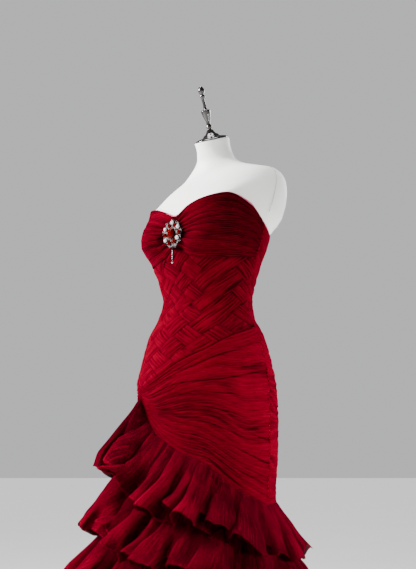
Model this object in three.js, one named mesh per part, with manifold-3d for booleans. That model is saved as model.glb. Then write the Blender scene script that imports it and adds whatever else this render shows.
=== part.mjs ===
// A strapless trumpet evening dress worn by a limbless dress form on a round foot.
// Millimetres. +Z is up, the front of the dress faces -Y and the wearer's left is +X.
// The origin is the middle of the foot's underside, on the floor.

import * as THREE from "three";
import { mergeVertices } from "three/addons/utils/BufferGeometryUtils.js";
import Module from "manifold-3d";

const wasm = await Module();
wasm.setup();

// Driving sizes.
const seamGap = 0.4; // left open between two sewn pieces
const wallDepth = 2.6; // from the dress surface in to a panel's inner side
const seamTrim = 0.09; // half a seam's gap in degrees round the body
const thinnest = 1.2; // wall in the valleys of the pleats
const thickest = 3; // wall on the crests of the pleats
const formDepth = 5; // from the dress surface in to the form
const formSlack = 2.6; // further in round the waist, where the flat faces bridge the hollow
const hemHeight = 12; // hem above the floor
const sideSeam = 90; // degrees from centre front
const gatherAngle = -38.5; // where the hip drapes are caught together

// Columns that neighbouring pieces share, in degrees: closer together where the seams are steep.
const rightColumns = [-90, -81, -72, -63, -54, -45, gatherAngle, -32, -25.5, -19, -9.5, 0];
const leftColumns = [0, 9, 18, 27, 36, 45, 54, 63, 72, 81, 90];
const frontColumns = [...rightColumns, ...leftColumns.slice(1)];
const leftBackColumns = [90, 101, 112, 123, 134, 145.5, 157, 168.5, 180];
const rightBackColumns = [-180, -168.5, -157, -145.5, -134, -123, -112, -101, -90];

// Bust, as two soft lobes on the body sections.
const bust = { height: 24, angle: 36, spread: 24, z: 1165, above: 55, below: 32 };

// Ruffle skirt.
const ruffleCount = 6;
const ruffleOverlap = 1.35; // cut length of a tier over the spacing of the tiers
const ruffleColumns = 80;
const ruffleRows = 1;
const ruffleThickness = 1.2;
const tierShare = 1 / (ruffleCount - 1 + ruffleOverlap);

// Plaited bands over the midriff.
const plait = {
  radius: 120, // turns an angle into a length round the midriff
  slope: 0.73, // rise of a band over its run
  pitch: 50, // upright distance from band to band
  gap: 0.06, // half the clearance between bands, as a share of the pitch
  thickness: 1.1,
  low: -0.2,
  high: 1.9,
};
const plaitLongRun = { from: 20, to: 76, low: 985, high: 1120 }; // where rising bands stay on top

// Half width, front depth and back depth of the dress at each height.
const bodySections = [
  { z: 590, half: 161, front: 116, back: 119 },
  { z: 620, half: 161, front: 116, back: 119 },
  { z: 700, half: 165, front: 122, back: 128 },
  { z: 780, half: 166, front: 132, back: 132 },
  { z: 840, half: 166, front: 147, back: 122 },
  { z: 900, half: 155, front: 134, back: 111 },
  { z: 960, half: 137, front: 120, back: 94 },
  { z: 1000, half: 115, front: 102, back: 82 },
  { z: 1040, half: 108, front: 86, back: 84 },
  { z: 1080, half: 118, front: 91, back: 89 },
  { z: 1120, half: 132, front: 107, back: 94 },
  { z: 1160, half: 148, front: 118, back: 106 },
  { z: 1200, half: 158, front: 119, back: 111 },
  { z: 1240, half: 149, front: 111, back: 105 },
  { z: 1290, half: 140, front: 104, back: 98 },
];

// Upper edge of the bodice.
const necklineRows = [
  { angle: -180, z: 1165 },
  { angle: -105, z: 1176 },
  { angle: -90, z: 1191 },
  { angle: -79, z: 1227 },
  { angle: -57, z: 1254 },
  { angle: -38, z: 1248 },
  { angle: -14, z: 1231 },
  { angle: 0, z: 1220 },
  { angle: 14, z: 1240 },
  { angle: 38, z: 1259 },
  { angle: 57, z: 1266 },
  { angle: 79, z: 1238 },
  { angle: 90, z: 1199 },
  { angle: 105, z: 1182 },
  { angle: 180, z: 1165 },
];

// Lower edge of the two bust drapes.
const underbustRows = [
  { angle: -90, z: 1129 },
  { angle: -45, z: 1123 },
  { angle: -20, z: 1130 },
  { angle: 0, z: 1144 },
  { angle: 20, z: 1130 },
  { angle: 45, z: 1123 },
  { angle: 90, z: 1129 },
];

// Upper edge of the hip drapes.
const wrapTopRows = [
  { angle: -90, z: 880 },
  { angle: -60, z: 853 },
  { angle: gatherAngle, z: 838 },
  { angle: -26, z: 844 },
  { angle: -12, z: 858 },
  { angle: 12, z: 892 },
  { angle: 36, z: 918 },
  { angle: 58, z: 946 },
  { angle: 90, z: 974 },
];

// Seam where the fitted part ends and the ruffles start.
const ruffleSeamRows = [
  { angle: -180, z: 652 },
  { angle: -150, z: 690 },
  { angle: -120, z: 738 },
  { angle: -90, z: 782 },
  { angle: -60, z: 813 },
  { angle: gatherAngle, z: 824 },
  { angle: -32, z: 786 },
  { angle: -25.5, z: 761 },
  { angle: -19, z: 745 },
  { angle: 0, z: 719 },
  { angle: 12, z: 706 },
  { angle: 26, z: 695 },
  { angle: 36, z: 684 },
  { angle: 54, z: 648 },
  { angle: 73, z: 616 },
  { angle: 90, z: 599 },
  { angle: 120, z: 604 },
  { angle: 150, z: 622 },
  { angle: 180, z: 652 },
];

// Underskirt at the floor, round the body.
const hemSection = { half: 390, front: 375, back: 435 };

// Stand-off of a ruffle's hem from the underskirt over the ruffle's length, round the body.
const standOffRows = [
  { angle: -180, share: 0.3 },
  { angle: -100, share: 0.31 },
  { angle: -30, share: 0.32 },
  { angle: 60, share: 0.3 },
  { angle: 110, share: 0.27 },
  { angle: 180, share: 0.3 },
];

// Waves of each ruffle: how many, where they start, how unevenly they fall and how far they lean.
// The seat is the gathered edge's height off the skirt's smooth surface.
const ruffleWaves = [
  { waves: 13, start: 0.4, uneven: 0.9, swell: 1.1, lean: 15, seat: -0.1 },
  { waves: 14, start: 2.1, uneven: 1.0, swell: 2.7, lean: 12, seat: 0.7 },
  { waves: 15, start: 4.0, uneven: 0.8, swell: 0.2, lean: 9, seat: 0.6 },
  { waves: 16, start: 1.2, uneven: 1.0, swell: 3.9, lean: 7, seat: -0.3 },
  { waves: 17, start: 5.2, uneven: 0.9, swell: 5.1, lean: 5, seat: 0.5 },
  { waves: 18, start: 3.1, uneven: 0.8, swell: 1.9, lean: 3, seat: -0.3 },
];

// Bare chest, shoulders and neck of the form, above the dress. The shoulders are swept back, and the
// left one is the higher.
const formSections = [
  { z: 1165, half: 146, front: 108, back: 104, square: 2.1, sweep: 4, tilt: 0, roll: 0 },
  { z: 1200, half: 156, front: 110, back: 106, square: 2.2, sweep: 22, tilt: 0, roll: 0 },
  { z: 1228, half: 165, front: 106, back: 106, square: 2.3, sweep: 38, tilt: 0, roll: 0.03 },
  { z: 1255, half: 166, front: 94, back: 106, square: 2.4, sweep: 46, tilt: 0, roll: 0.05 },
  { z: 1282, half: 164, front: 74, back: 104, square: 2.5, sweep: 48, tilt: 0, roll: 0.065 },
  { z: 1306, half: 160, front: 48, back: 98, square: 2.5, sweep: 44, tilt: 0, roll: 0.075 },
  { z: 1325, half: 151, front: 26, back: 91, square: 2.4, sweep: 38, tilt: 0, roll: 0.08 },
  { z: 1338, half: 137, front: 12, back: 86, square: 2.2, sweep: 30, tilt: 0, roll: 0.08 },
  { z: 1348, half: 112, front: 6, back: 82, square: 2, sweep: 19, tilt: 0, roll: 0.07 },
  { z: 1360, half: 80, front: 4, back: 77, square: 2, sweep: 6, tilt: 0, roll: 0.045 },
  { z: 1375, half: 55, front: 5, back: 72, square: 2, sweep: 0, tilt: 0.05, roll: 0.02 },
  { z: 1392, half: 44, front: 11, back: 65, square: 2, sweep: 0, tilt: 0.15, roll: 0 },
  { z: 1410, half: 40.5, front: 17, back: 59, square: 2, sweep: 0, tilt: 0.27, roll: 0 },
  { z: 1428, half: 41, front: 24, back: 55, square: 2, sweep: 0, tilt: 0.37, roll: 0 },
];
const formBottom = 800;
const formColumns = 24;
const formWornHeights = [800, 840, 880, 915, 945, 970, 993, 1014, 1032, 1050, 1070, 1092, 1116];
const formWornRows = 5; // from the last of these heights up to the neckline
const formBareRows = 9; // from the neckline up to the neck
const neckCentre = 15.5; // behind the axis
const neckTilt = 0.37; // rise of the neck's cut over its depth

// Stand.
const poleRadius = 16;
const footRadius = 165;
const footThickness = 10;
const hubRadius = 34;
const hubHeight = 52;

// Brooch.
const brooch = { z: 1176, half: 26, tall: 31, thickness: 2.4, scallops: 9, scallop: 1.8, seat: 0.4 };
const stoneSeat = 0.3;

const finishes = {
  chiffon: { color: 0x8c0418, roughness: 0.78, metalness: 0 },
  organza: { color: 0x7a0316, roughness: 0.6, metalness: 0 },
  lining: { color: 0x4a0210, roughness: 0.8, metalness: 0 },
  shell: { color: 0xeef0ea, roughness: 0.55, metalness: 0 },
  lacquer: { color: 0x141010, roughness: 0.18, metalness: 0 },
  silver: { color: 0x9a948c, roughness: 0.28, metalness: 1 },
  garnet: { color: 0x9c0a10, roughness: 0.08, metalness: 0 },
  crystal: { color: 0xf2f4f6, roughness: 0.05, metalness: 0 },
};

const radians = (degrees) => (degrees * Math.PI) / 180;
const mix = (a, b, share) => a + (b - a) * share;

// A smooth curve through one column of a table that never overshoots its rows.
function columnCurve(rows, by, column) {
  const xs = rows.map((row) => row[by]);
  const ys = rows.map((row) => row[column]);
  const last = xs.length - 1;
  const slopes = xs.slice(1).map((x, i) => (ys[i + 1] - ys[i]) / (x - xs[i]));
  const tangents = xs.map((_, i) => {
    const before = slopes[Math.max(i - 1, 0)];
    const after = slopes[Math.min(i, last - 1)];
    return before * after > 0 ? (2 * before * after) / (before + after) : 0;
  });
  return (x) => {
    let i = 0;
    while (i < last - 1 && x > xs[i + 1]) i += 1;
    const step = xs[i + 1] - xs[i];
    const t = Math.min(Math.max((x - xs[i]) / step, 0), 1);
    const [t2, t3] = [t * t, t * t * t];
    return (
      ys[i] * (2 * t3 - 3 * t2 + 1) +
      ys[i + 1] * (3 * t2 - 2 * t3) +
      step * (tangents[i] * (t3 - 2 * t2 + t) + tangents[i + 1] * (t3 - t2))
    );
  };
}

const halfAt = columnCurve(bodySections, "z", "half");
const frontAt = columnCurve(bodySections, "z", "front");
const backAt = columnCurve(bodySections, "z", "back");
const neckline = columnCurve(necklineRows, "angle", "z");
const underbust = columnCurve(underbustRows, "angle", "z");
const wrapTop = columnCurve(wrapTopRows, "angle", "z");
const ruffleSeam = columnCurve(ruffleSeamRows, "angle", "z");
const standOff = columnCurve(standOffRows, "angle", "share");

const wrapAngle = (angle) => ((((angle + 180) % 360) + 360) % 360) - 180;
const bell = (distance, spread) => Math.exp(-((distance / spread) ** 2));

// Radius of an oval whose front and back halves differ.
function ovalRadius(angle, half, front, back) {
  const depth = Math.cos(radians(angle)) > 0 ? front : back;
  return 1 / Math.hypot(Math.sin(radians(angle)) / half, Math.cos(radians(angle)) / depth);
}

function bustShare(angle, z) {
  const lobes = bell(angle - bust.angle, bust.spread) + bell(angle + bust.angle, bust.spread);
  return lobes * bell(z - bust.z, z > bust.z ? bust.above : bust.below);
}

// A point of the dress surface: the angle is 0 at centre front and grows to the wearer's left.
function bodyPoint(angle, z) {
  const around = wrapAngle(angle);
  const radius =
    ovalRadius(around, halfAt(z), frontAt(z), backAt(z)) + bust.height * bustShare(around, z);
  return new THREE.Vector3(
    radius * Math.sin(radians(angle)),
    -radius * Math.cos(radians(angle)),
    z,
  );
}

// The same for the underskirt: fall is 0 at the ruffle seam and 1 at the hem.
function skirtPoint(angle, fall) {
  const around = wrapAngle(angle);
  const top = ruffleSeam(around);
  const start = ovalRadius(around, halfAt(top), frontAt(top), backAt(top));
  const end = ovalRadius(around, hemSection.half, hemSection.front, hemSection.back);
  const flare = 0.55 * fall + 0.45 * fall * fall;
  const radius = mix(start, end, flare);
  return new THREE.Vector3(
    radius * Math.sin(radians(angle)),
    -radius * Math.cos(radians(angle)),
    mix(top, hemHeight, fall),
  );
}

// The outward normal of a surface given by two numbers.
function outward(surface, first, second, firstStep, secondStep) {
  const across = surface(first + firstStep, second).sub(surface(first - firstStep, second));
  const along = surface(first, second + secondStep).sub(surface(first, second - secondStep));
  const normal = across.cross(along).normalize();
  const here = surface(first, second);
  return normal.x * here.x + normal.y * here.y < 0 ? normal.negate() : normal;
}

function offBody(angle, z, height) {
  return bodyPoint(angle, z).addScaledVector(outward(bodyPoint, angle, z, 0.5, 1), height);
}

function offSkirt(angle, fall, height) {
  return skirtPoint(angle, fall).addScaledVector(
    outward(skirtPoint, angle, fall, 0.5, 0.004),
    height,
  );
}

function geometryFrom(points, faces) {
  const geometry = new THREE.BufferGeometry();
  geometry.setAttribute("position", new THREE.Float32BufferAttribute(points.flat(), 3));
  geometry.setIndex(faces);
  geometry.computeVertexNormals();
  return geometry;
}

// A cloth wall between an outer and an inner grid, open sheet or closed ring, turned to face out.
function wall(columns, rows, ring, outer, inner) {
  const points = [];
  const faces = [];
  const lines = ring ? columns : columns + 1;
  for (const side of [outer, inner])
    for (let i = 0; i < lines; i += 1)
      for (let j = 0; j <= rows; j += 1) points.push(side(i / columns, j / rows).toArray());
  const at = (side, i, j) => side * lines * (rows + 1) + (i % lines) * (rows + 1) + j;
  const quad = (a, b, c, d) => faces.push(a, b, c, a, c, d);
  for (let i = 0; i < columns; i += 1) {
    for (let j = 0; j < rows; j += 1) {
      quad(at(0, i, j), at(0, i + 1, j), at(0, i + 1, j + 1), at(0, i, j + 1));
      quad(at(1, i, j), at(1, i, j + 1), at(1, i + 1, j + 1), at(1, i + 1, j));
    }
    quad(at(1, i, 0), at(1, i + 1, 0), at(0, i + 1, 0), at(0, i, 0));
    quad(at(0, i, rows), at(0, i + 1, rows), at(1, i + 1, rows), at(1, i, rows));
  }
  if (!ring)
    for (let j = 0; j < rows; j += 1) {
      quad(at(0, 0, j), at(0, 0, j + 1), at(1, 0, j + 1), at(1, 0, j));
      quad(at(1, columns, j), at(1, columns, j + 1), at(0, columns, j + 1), at(0, columns, j));
    }
  return geometryFrom(points, turnedOut(points, faces));
}

function turnedOut(points, faces) {
  let volume = 0;
  for (let i = 0; i < faces.length; i += 3) {
    const [a, b, c] = [0, 1, 2].map((k) => new THREE.Vector3(...points[faces[i + k]]));
    volume += a.dot(b.cross(c));
  }
  return volume < 0 ? [...faces].reverse() : faces;
}

const dress = new THREE.Group();

function addPiece(name, geometry, finish) {
  const mesh = new THREE.Mesh(geometry, new THREE.MeshStandardMaterial(finishes[finish]));
  mesh.name = name;
  dress.add(mesh);
  return mesh;
}

// The angle of a column, the first and last drawn in by half a seam's gap.
function columnAngle(columns, u) {
  const last = columns.length - 1;
  const index = Math.round(u * last);
  if (index === 0) return columns[0] + seamTrim;
  return index === last ? columns[last] - seamTrim : columns[index];
}

// A fitted panel between two side edges and two curved edges. Every other row is a pleat's crest,
// lifted off the valleys by the relief; the wall under it stays within the thickest cloth.
function fittedPanel({ columns, pleats, low, high, relief, warp }) {
  const steps = pleats * 2;
  const trim = seamGap / 2;
  const place = (u, v) => {
    const angle = columnAngle(columns, u);
    const share = warp ? warp(u, v) : v;
    return [angle, mix(low(angle) + trim, high(angle) - trim, share)];
  };
  const top = (u, v) => thinnest - wallDepth + (Math.round(v * steps) % 2 ? relief(u) : 0);
  const outer = (u, v) => offBody(...place(u, v), top(u, v));
  const inner = (u, v) => offBody(...place(u, v), Math.max(top(u, v) - thickest, -wallDepth));
  return wall(columns.length - 1, steps, false, outer, inner);
}

function addBustDrapes() {
  const squeeze = (u, v) => {
    const pull = 0.5 * bell(u, 0.16) * (1 - Math.abs(2 * v - 1) ** 3);
    return 0.45 + (v - 0.45) * (1 - pull);
  };
  const relief = (u) => 1 + 1.2 * Math.sin(Math.PI * (0.15 + 0.75 * u));
  const shared = { pleats: 7, low: underbust, high: neckline };
  const left = { ...shared, columns: leftColumns, relief, warp: squeeze };
  const right = {
    ...shared,
    columns: rightColumns,
    relief: (u) => relief(1 - u),
    warp: (u, v) => squeeze(1 - u, v),
  };
  addPiece("bust_drape_left", fittedPanel(left), "chiffon");
  addPiece("bust_drape_right", fittedPanel(right), "chiffon");
}

const waistRows = [1005, 1024, 1042, 1060, 1088];

function addMidriff() {
  const place = (u, v) => {
    const angle = columnAngle(frontColumns, u);
    const [low, high] = [wrapTop(angle) + seamGap / 2, underbust(angle) - seamGap / 2];
    const first = mix(low, waistRows[0], 0.4);
    const rows = [low, first, mix(first, waistRows[0], 0.5), ...waistRows, high];
    return [angle, rows[Math.round(v * (rows.length - 1))]];
  };
  const side = (height) => (u, v) => offBody(...place(u, v), height);
  const panel = wall(frontColumns.length - 1, waistRows.length + 3, false, side(-2.3), side(-3.5));
  addPiece("midriff_panel", panel, "lining");
}

function addHipDrapes() {
  const edges = { low: ruffleSeam, high: wrapTop };
  const left = {
    ...edges,
    columns: frontColumns.filter((angle) => angle >= gatherAngle),
    pleats: 8,
    relief: (u) => 1.4 + 1.6 * Math.sin(Math.PI * Math.min(1, 0.1 + u)),
  };
  const right = {
    ...edges,
    columns: frontColumns.filter((angle) => angle <= gatherAngle),
    pleats: 4,
    relief: () => 2,
  };
  addPiece("hip_drape_left", fittedPanel(left), "chiffon");
  addPiece("hip_drape_right", fittedPanel(right), "chiffon");
}

function addBackPanels() {
  const shared = { pleats: 8, low: ruffleSeam, high: neckline, relief: () => 1.8 };
  const left = fittedPanel({ ...shared, columns: leftBackColumns });
  const right = fittedPanel({ ...shared, columns: rightBackColumns });
  addPiece("back_panel_left", left, "chiffon");
  addPiece("back_panel_right", right, "chiffon");
}

function manifoldFrom(geometry) {
  const plain = geometry.clone();
  plain.deleteAttribute("normal");
  const merged = mergeVertices(plain, 1e-4);
  return new wasm.Manifold(
    new wasm.Mesh({
      numProp: 3,
      vertProperties: merged.attributes.position.array,
      triVerts: new Uint32Array(merged.index.array),
    }),
  );
}

function geometryOf(manifold) {
  const mesh = manifold.getMesh();
  const points = [];
  for (let i = 0; i < mesh.vertProperties.length; i += mesh.numProp)
    points.push([...mesh.vertProperties.slice(i, i + 3)]);
  return geometryFrom(points, [...mesh.triVerts]);
}

// The zone over the midriff panel that the bands are trimmed to.
function midriffZone() {
  const place = (u, v) => {
    const angle = columnAngle(frontColumns, u);
    return [angle, mix(wrapTop(angle) + seamGap, underbust(angle) - seamGap, v)];
  };
  return manifoldFrom(
    wall(
      frontColumns.length - 1,
      10,
      false,
      (u, v) => offBody(...place(u, v), 8),
      (u, v) => offBody(...place(u, v), -8),
    ),
  );
}

// Whether the rising band lies on top where two bands cross. They take turns, but over the left ribs
// the rising ones stay on top.
function risingOver(rising, falling) {
  const turn = ((falling - rising) * plait.pitch * 180) / (2 * plait.slope * plait.radius * Math.PI);
  const z = (plait.pitch * (rising + falling + 1)) / 2;
  const { from, to, low, high } = plaitLongRun;
  return (rising + falling) % 2 === 0 || (turn > from && turn < to && z > low && z < high);
}

// One band of a family that rises (1) or falls (-1) to the wearer's left, over and under the other.
function plaitBand(family, index, zone) {
  const { radius, slope, pitch, gap, thickness, low, high } = plait;
  const place = (a, b) => {
    const round = (family * pitch * (b - a)) / (2 * slope);
    return [(round / radius) * (180 / Math.PI), (pitch * (a + b)) / 2];
  };
  const middle = index + 0.5;
  const inside = (b) => {
    const [angle, z] = place(middle, b);
    return Math.abs(angle) < sideSeam + 8 && z > wrapTop(angle) - 12 && z < underbust(angle) + 12;
  };
  const crossings = [];
  for (let b = 10; b < 60; b += 1) if (inside(b) || inside(b + 1)) crossings.push(b);
  if (!crossings.length) return null;
  const stops = crossings.flatMap((b) => [b + gap, b + 0.5, b + 1 - gap]);
  const isOver = (b) =>
    family > 0 ? risingOver(index, Math.floor(b)) : !risingOver(Math.floor(b), index);
  const side = (lift) => (u, v) => {
    const b = stops[Math.round(u * (stops.length - 1))];
    const a = index + mix(gap, 1 - gap, v);
    return offBody(...place(a, b), (isOver(b) ? high : low) + lift);
  };
  const band = manifoldFrom(wall(stops.length - 1, 2, false, side(thickness), side(0)));
  const parts = zone.intersect(band).decompose();
  parts.sort((p, q) => q.volume() - p.volume());
  return parts.length && parts[0].volume() > 900 ? parts[0] : null;
}

function addPlaits() {
  const zone = midriffZone();
  for (const [family, word] of [
    [1, "rising"],
    [-1, "falling"],
  ]) {
    let count = 0;
    for (let index = 10; index < 60; index += 1) {
      const band = plaitBand(family, index, zone);
      if (!band) continue;
      count += 1;
      addPiece(`plait_${word}_${count}`, geometryOf(band), "chiffon");
    }
  }
}

function addUnderskirt() {
  const gores = [
    { name: "front_left", columns: leftColumns },
    { name: "front_right", columns: rightColumns },
    { name: "back_left", columns: leftBackColumns },
    { name: "back_right", columns: rightBackColumns },
  ];
  const topFall = 0.0003;
  for (const { name, columns } of gores) {
    const angle = (u) => columnAngle(columns, u);
    const side = (height) => (u, v) => offSkirt(angle(u), mix(topFall, 1, v), height);
    const gore = wall(columns.length - 1, 4, false, side(-2.5), side(-4.1));
    addPiece(`underskirt_${name}`, gore, "lining");
  }
}

// One gathered tier: flat at its seam, swinging out into uneven flutes at its hem.
function ruffleSide(tier, lift) {
  const { waves, start, uneven, swell, lean, seat } = ruffleWaves[tier];
  const seamFall = tier * tierShare + 0.008;
  return (u, v) => {
    const around = u * 2 * Math.PI;
    const phase =
      waves * around +
      start +
      uneven * Math.sin(2 * around + start) +
      0.6 * uneven * Math.sin(5 * around + swell);
    const angle = wrapAngle(u * 360 - 180);
    const drop = (ruffleSeam(angle) - hemHeight) * tierShare;
    const length = drop * ruffleOverlap;
    const reach = length * standOff(angle);
    const size = 0.47 * reach * (1 + 0.14 * Math.sin(3 * around + swell));
    const out = reach + size * Math.cos(phase);
    const shift = (0.055 * 360 * Math.sin(2 * phase)) / waves;
    const turn = v * (shift - lean * bell(angle, 70));
    const fallen = Math.sqrt(1 - (out / length) ** 2) * length;
    const fall = seamFall + (v * (fallen - 0.008 * drop) * tierShare) / drop;
    return offSkirt(angle + turn, Math.min(fall, 1), seat + lift + v * out);
  };
}

function addRuffles() {
  for (let tier = 0; tier < ruffleCount; tier += 1)
    addPiece(
      `ruffle_${tier + 1}`,
      wall(
        ruffleColumns,
        ruffleRows,
        true,
        ruffleSide(tier, ruffleThickness),
        ruffleSide(tier, 0),
      ),
      "organza",
    );
}

// The form follows the dress up to its neckline and has its own sections above it.
function wornPoint(angle, z) {
  const point = bodyPoint(angle, z);
  const radial = new THREE.Vector3(point.x, point.y, 0).normalize();
  const slack = formSlack * bell(z - 1060, 90) + 1.8 * bustShare(angle, z);
  return point.addScaledVector(radial, -formDepth - slack);
}

function barePoint(angle, z) {
  const column = (name) => columnCurve(formSections, "z", name)(z);
  const centre = (column("back") - column("front")) / 2;
  const depth = (column("back") + column("front")) / 2;
  const power = 2 / column("square");
  const [sine, cosine] = [Math.sin(radians(angle)), Math.cos(radians(angle))];
  const point = new THREE.Vector3(
    column("half") * Math.sign(sine) * Math.abs(sine) ** power,
    centre - depth * Math.sign(cosine) * Math.abs(cosine) ** power + column("sweep") * sine * sine,
    z,
  );
  point.z += column("tilt") * (point.y - neckCentre) + column("roll") * point.x;
  return point;
}

function formRing(angle) {
  const edge = neckline(angle) + 2;
  const last = formWornHeights[formWornHeights.length - 1];
  const top = formSections[formSections.length - 1].z;
  const ring = formWornHeights.map((z) => wornPoint(angle, z));
  for (let row = 1; row <= formWornRows; row += 1)
    ring.push(wornPoint(angle, mix(last, edge, row / formWornRows)));
  for (let row = 1; row <= formBareRows; row += 1) {
    const z = mix(edge, top, row / formBareRows);
    const share = Math.min((z - edge) / 40, 1);
    ring.push(wornPoint(angle, z).lerp(barePoint(angle, z), share * (2 - share)));
  }
  return ring;
}

function addForm() {
  const angles = Array.from({ length: formColumns }, (_, i) => (i * 360) / formColumns);
  const rings = angles.map((angle) => formRing(wrapAngle(angle)));
  const rows = rings[0].length;
  const points = rings.flat().map((point) => point.toArray());
  const faces = [];
  const at = (column, row) => (column % angles.length) * rows + row;
  points.push([0, 0, formBottom], [0, neckCentre, formSections[formSections.length - 1].z]);
  for (let i = 0; i < angles.length; i += 1) {
    for (let row = 0; row < rows - 1; row += 1) {
      faces.push(at(i, row), at(i + 1, row), at(i + 1, row + 1));
      faces.push(at(i, row), at(i + 1, row + 1), at(i, row + 1));
    }
    faces.push(points.length - 2, at(i + 1, 0), at(i, 0));
    faces.push(points.length - 1, at(i, rows - 1), at(i + 1, rows - 1));
  }
  addPiece("form_body", geometryFrom(points, turnedOut(points, faces)), "shell");
}

// A turned piece from rows of height and radius, standing on +Z.
function turned(rows, segments) {
  const profile = rows.map((row) => new THREE.Vector2(row.radius, row.up));
  const closed = [new THREE.Vector2(0, rows[0].up), ...profile];
  if (rows[rows.length - 1].radius > 0)
    closed.push(new THREE.Vector2(0, rows[rows.length - 1].up));
  return new THREE.LatheGeometry(closed, segments).rotateX(Math.PI / 2);
}

const finialRows = [
  { up: 0, radius: 39 },
  { up: 2.5, radius: 39 },
  { up: 6, radius: 31 },
  { up: 8, radius: 20 },
  { up: 13, radius: 17 },
  { up: 15, radius: 12 },
  { up: 22, radius: 8.5 },
  { up: 27, radius: 5 },
  { up: 32, radius: 6.6 },
  { up: 37, radius: 5 },
  { up: 44, radius: 5 },
  { up: 58, radius: 9 },
  { up: 68, radius: 11 },
  { up: 71, radius: 11 },
  { up: 73, radius: 4.2 },
  { up: 86, radius: 3.4 },
  { up: 100, radius: 4.4 },
  { up: 104, radius: 6 },
  { up: 108, radius: 4.6 },
  { up: 117, radius: 7.4 },
  { up: 125, radius: 5 },
  { up: 129, radius: 0 },
];

function addFinial() {
  const finial = addPiece("neck_cap_finial", turned(finialRows, 10), "lacquer");
  const lift = 0.45;
  const neckTop = formSections[formSections.length - 1].z;
  const tilt = Math.atan(neckTilt);
  finial.position.set(0, neckCentre - lift * Math.sin(tilt), neckTop + lift * Math.cos(tilt));
  finial.rotation.x = tilt;
}

function addStand() {
  const foot = [
    { up: 0, radius: footRadius - 2 },
    { up: 2, radius: footRadius },
    { up: footThickness - 3, radius: footRadius },
    { up: footThickness, radius: footRadius - 5 },
    { up: footThickness + 4, radius: hubRadius + 10 },
    { up: footThickness + 12, radius: hubRadius },
    { up: hubHeight, radius: poleRadius + 5 },
  ];
  addPiece("stand_foot", turned(foot, 22), "lacquer");
  const poleFrom = hubHeight + 0.3;
  const poleTo = formBottom - 0.3;
  const pole = [
    { up: poleFrom, radius: poleRadius },
    { up: poleTo - 16, radius: poleRadius },
    { up: poleTo - 8, radius: poleRadius + 14 },
    { up: poleTo, radius: poleRadius + 14 },
  ];
  addPiece("stand_pole", turned(pole, 14), "lacquer");
}

// Stones of the brooch: place on the plate and half size, x to the wearer's left and z up.
const crystals = [
  { x: 1, z: 25, size: 4.6 },
  { x: 17, z: 14, size: 4.6 },
  { x: 15, z: -10, size: 4.8 },
  { x: -19, z: 12, size: 4.2 },
  { x: -18, z: -13, size: 4.4 },
];
const garnets = [
  { x: -9, z: 19.5, size: 3.4 },
  { x: 9.5, z: 18, size: 3.2 },
  { x: 19, z: 2, size: 3.6 },
  { x: 5, z: -17, size: 3.4 },
  { x: -8, z: -21, size: 3.2 },
  { x: -20.5, z: -0.5, size: 3 },
];

// How far the cloth reaches forward under the brooch.
function clothFront(z0, z1, reach) {
  let front = 0;
  for (let z = z0; z <= z1; z += 4)
    for (let angle = -16; angle <= 16; angle += 1) {
      const point = offBody(angle, z, 0.3);
      if (Math.abs(point.x) <= reach) front = Math.max(front, -point.y);
    }
  return front;
}

function broochOutline() {
  const shape = new THREE.Shape();
  const count = 4 * brooch.scallops;
  for (let i = 0; i < count; i += 1) {
    const turn = (i * 2 * Math.PI) / count;
    const wave = brooch.scallop * Math.cos(brooch.scallops * turn);
    const x = (brooch.half + wave) * Math.sin(turn);
    const y = (brooch.tall + wave) * Math.cos(turn);
    if (i) shape.lineTo(x, y);
    else shape.moveTo(x, y);
  }
  return shape;
}

// Puts a piece made face up on the plate's front.
function setStone(name, geometry, finish, x, z, front) {
  const stone = addPiece(name, geometry, finish);
  stone.rotation.x = Math.PI / 2;
  stone.position.set(x, -(front + stoneSeat), z);
}

const cutStone = (size) => [
  { up: 0, radius: size * 0.94 },
  { up: size * 0.4, radius: size },
  { up: size * 0.85, radius: size * 0.55 },
];

function addBrooch() {
  const back = clothFront(brooch.z - brooch.tall, brooch.z + brooch.tall, brooch.half) + brooch.seat;
  const front = back + brooch.thickness;
  const plate = new THREE.ExtrudeGeometry(broochOutline(), {
    depth: brooch.thickness,
    bevelEnabled: false,
  });
  const plateMesh = addPiece("brooch_plate", plate, "silver");
  plateMesh.rotation.x = Math.PI / 2;
  plateMesh.position.set(0, -back, brooch.z);
  const centre = turned(cutStone(8), 9).scale(1, 1.45, 1);
  setStone("brooch_centre_stone", centre, "garnet", -3, brooch.z + 1, front);
  crystals.forEach(({ x, z, size }, i) =>
    setStone(`brooch_crystal_${i + 1}`, turned(cutStone(size), 6), "crystal", x, brooch.z + z, front),
  );
  garnets.forEach(({ x, z, size }, i) => {
    const garnet = turned(cutStone(size), 6).scale(1, 1.35, 1);
    setStone(`brooch_garnet_${i + 1}`, garnet, "garnet", x, brooch.z + z, front);
  });
  addDrop(-(back + brooch.thickness / 2));
}

// The chained drop under the brooch, from the hinge ball down.
const dropRows = [
  { up: -36, radius: 0 },
  { up: -34, radius: 2.4 },
  { up: -30, radius: 3.6 },
  { up: -24, radius: 1.4 },
  { up: -22, radius: 1.2 },
  { up: -19.5, radius: 2.2 },
  { up: -16, radius: 1.2 },
  { up: -13, radius: 2.2 },
  { up: -9.5, radius: 1.2 },
  { up: -6.5, radius: 2.2 },
  { up: -3, radius: 1.1 },
  { up: -1, radius: 1.7 },
  { up: 1, radius: 1.7 },
  { up: 1.9, radius: 0 },
];

function addDrop(y) {
  const hinge = brooch.z - brooch.tall + brooch.scallop - 1.9 - stoneSeat;
  const drop = addPiece("brooch_drop", turned(dropRows, 6), "crystal");
  drop.position.set(0, y, hinge);
}

addBustDrapes();
addMidriff();
addPlaits();
addHipDrapes();
addBackPanels();
addUnderskirt();
addRuffles();
addBrooch();
addForm();
addFinial();
addStand();

export default dress;
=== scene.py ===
import math

import bpy
import numpy as np
from mathutils import Matrix, Vector


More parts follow.
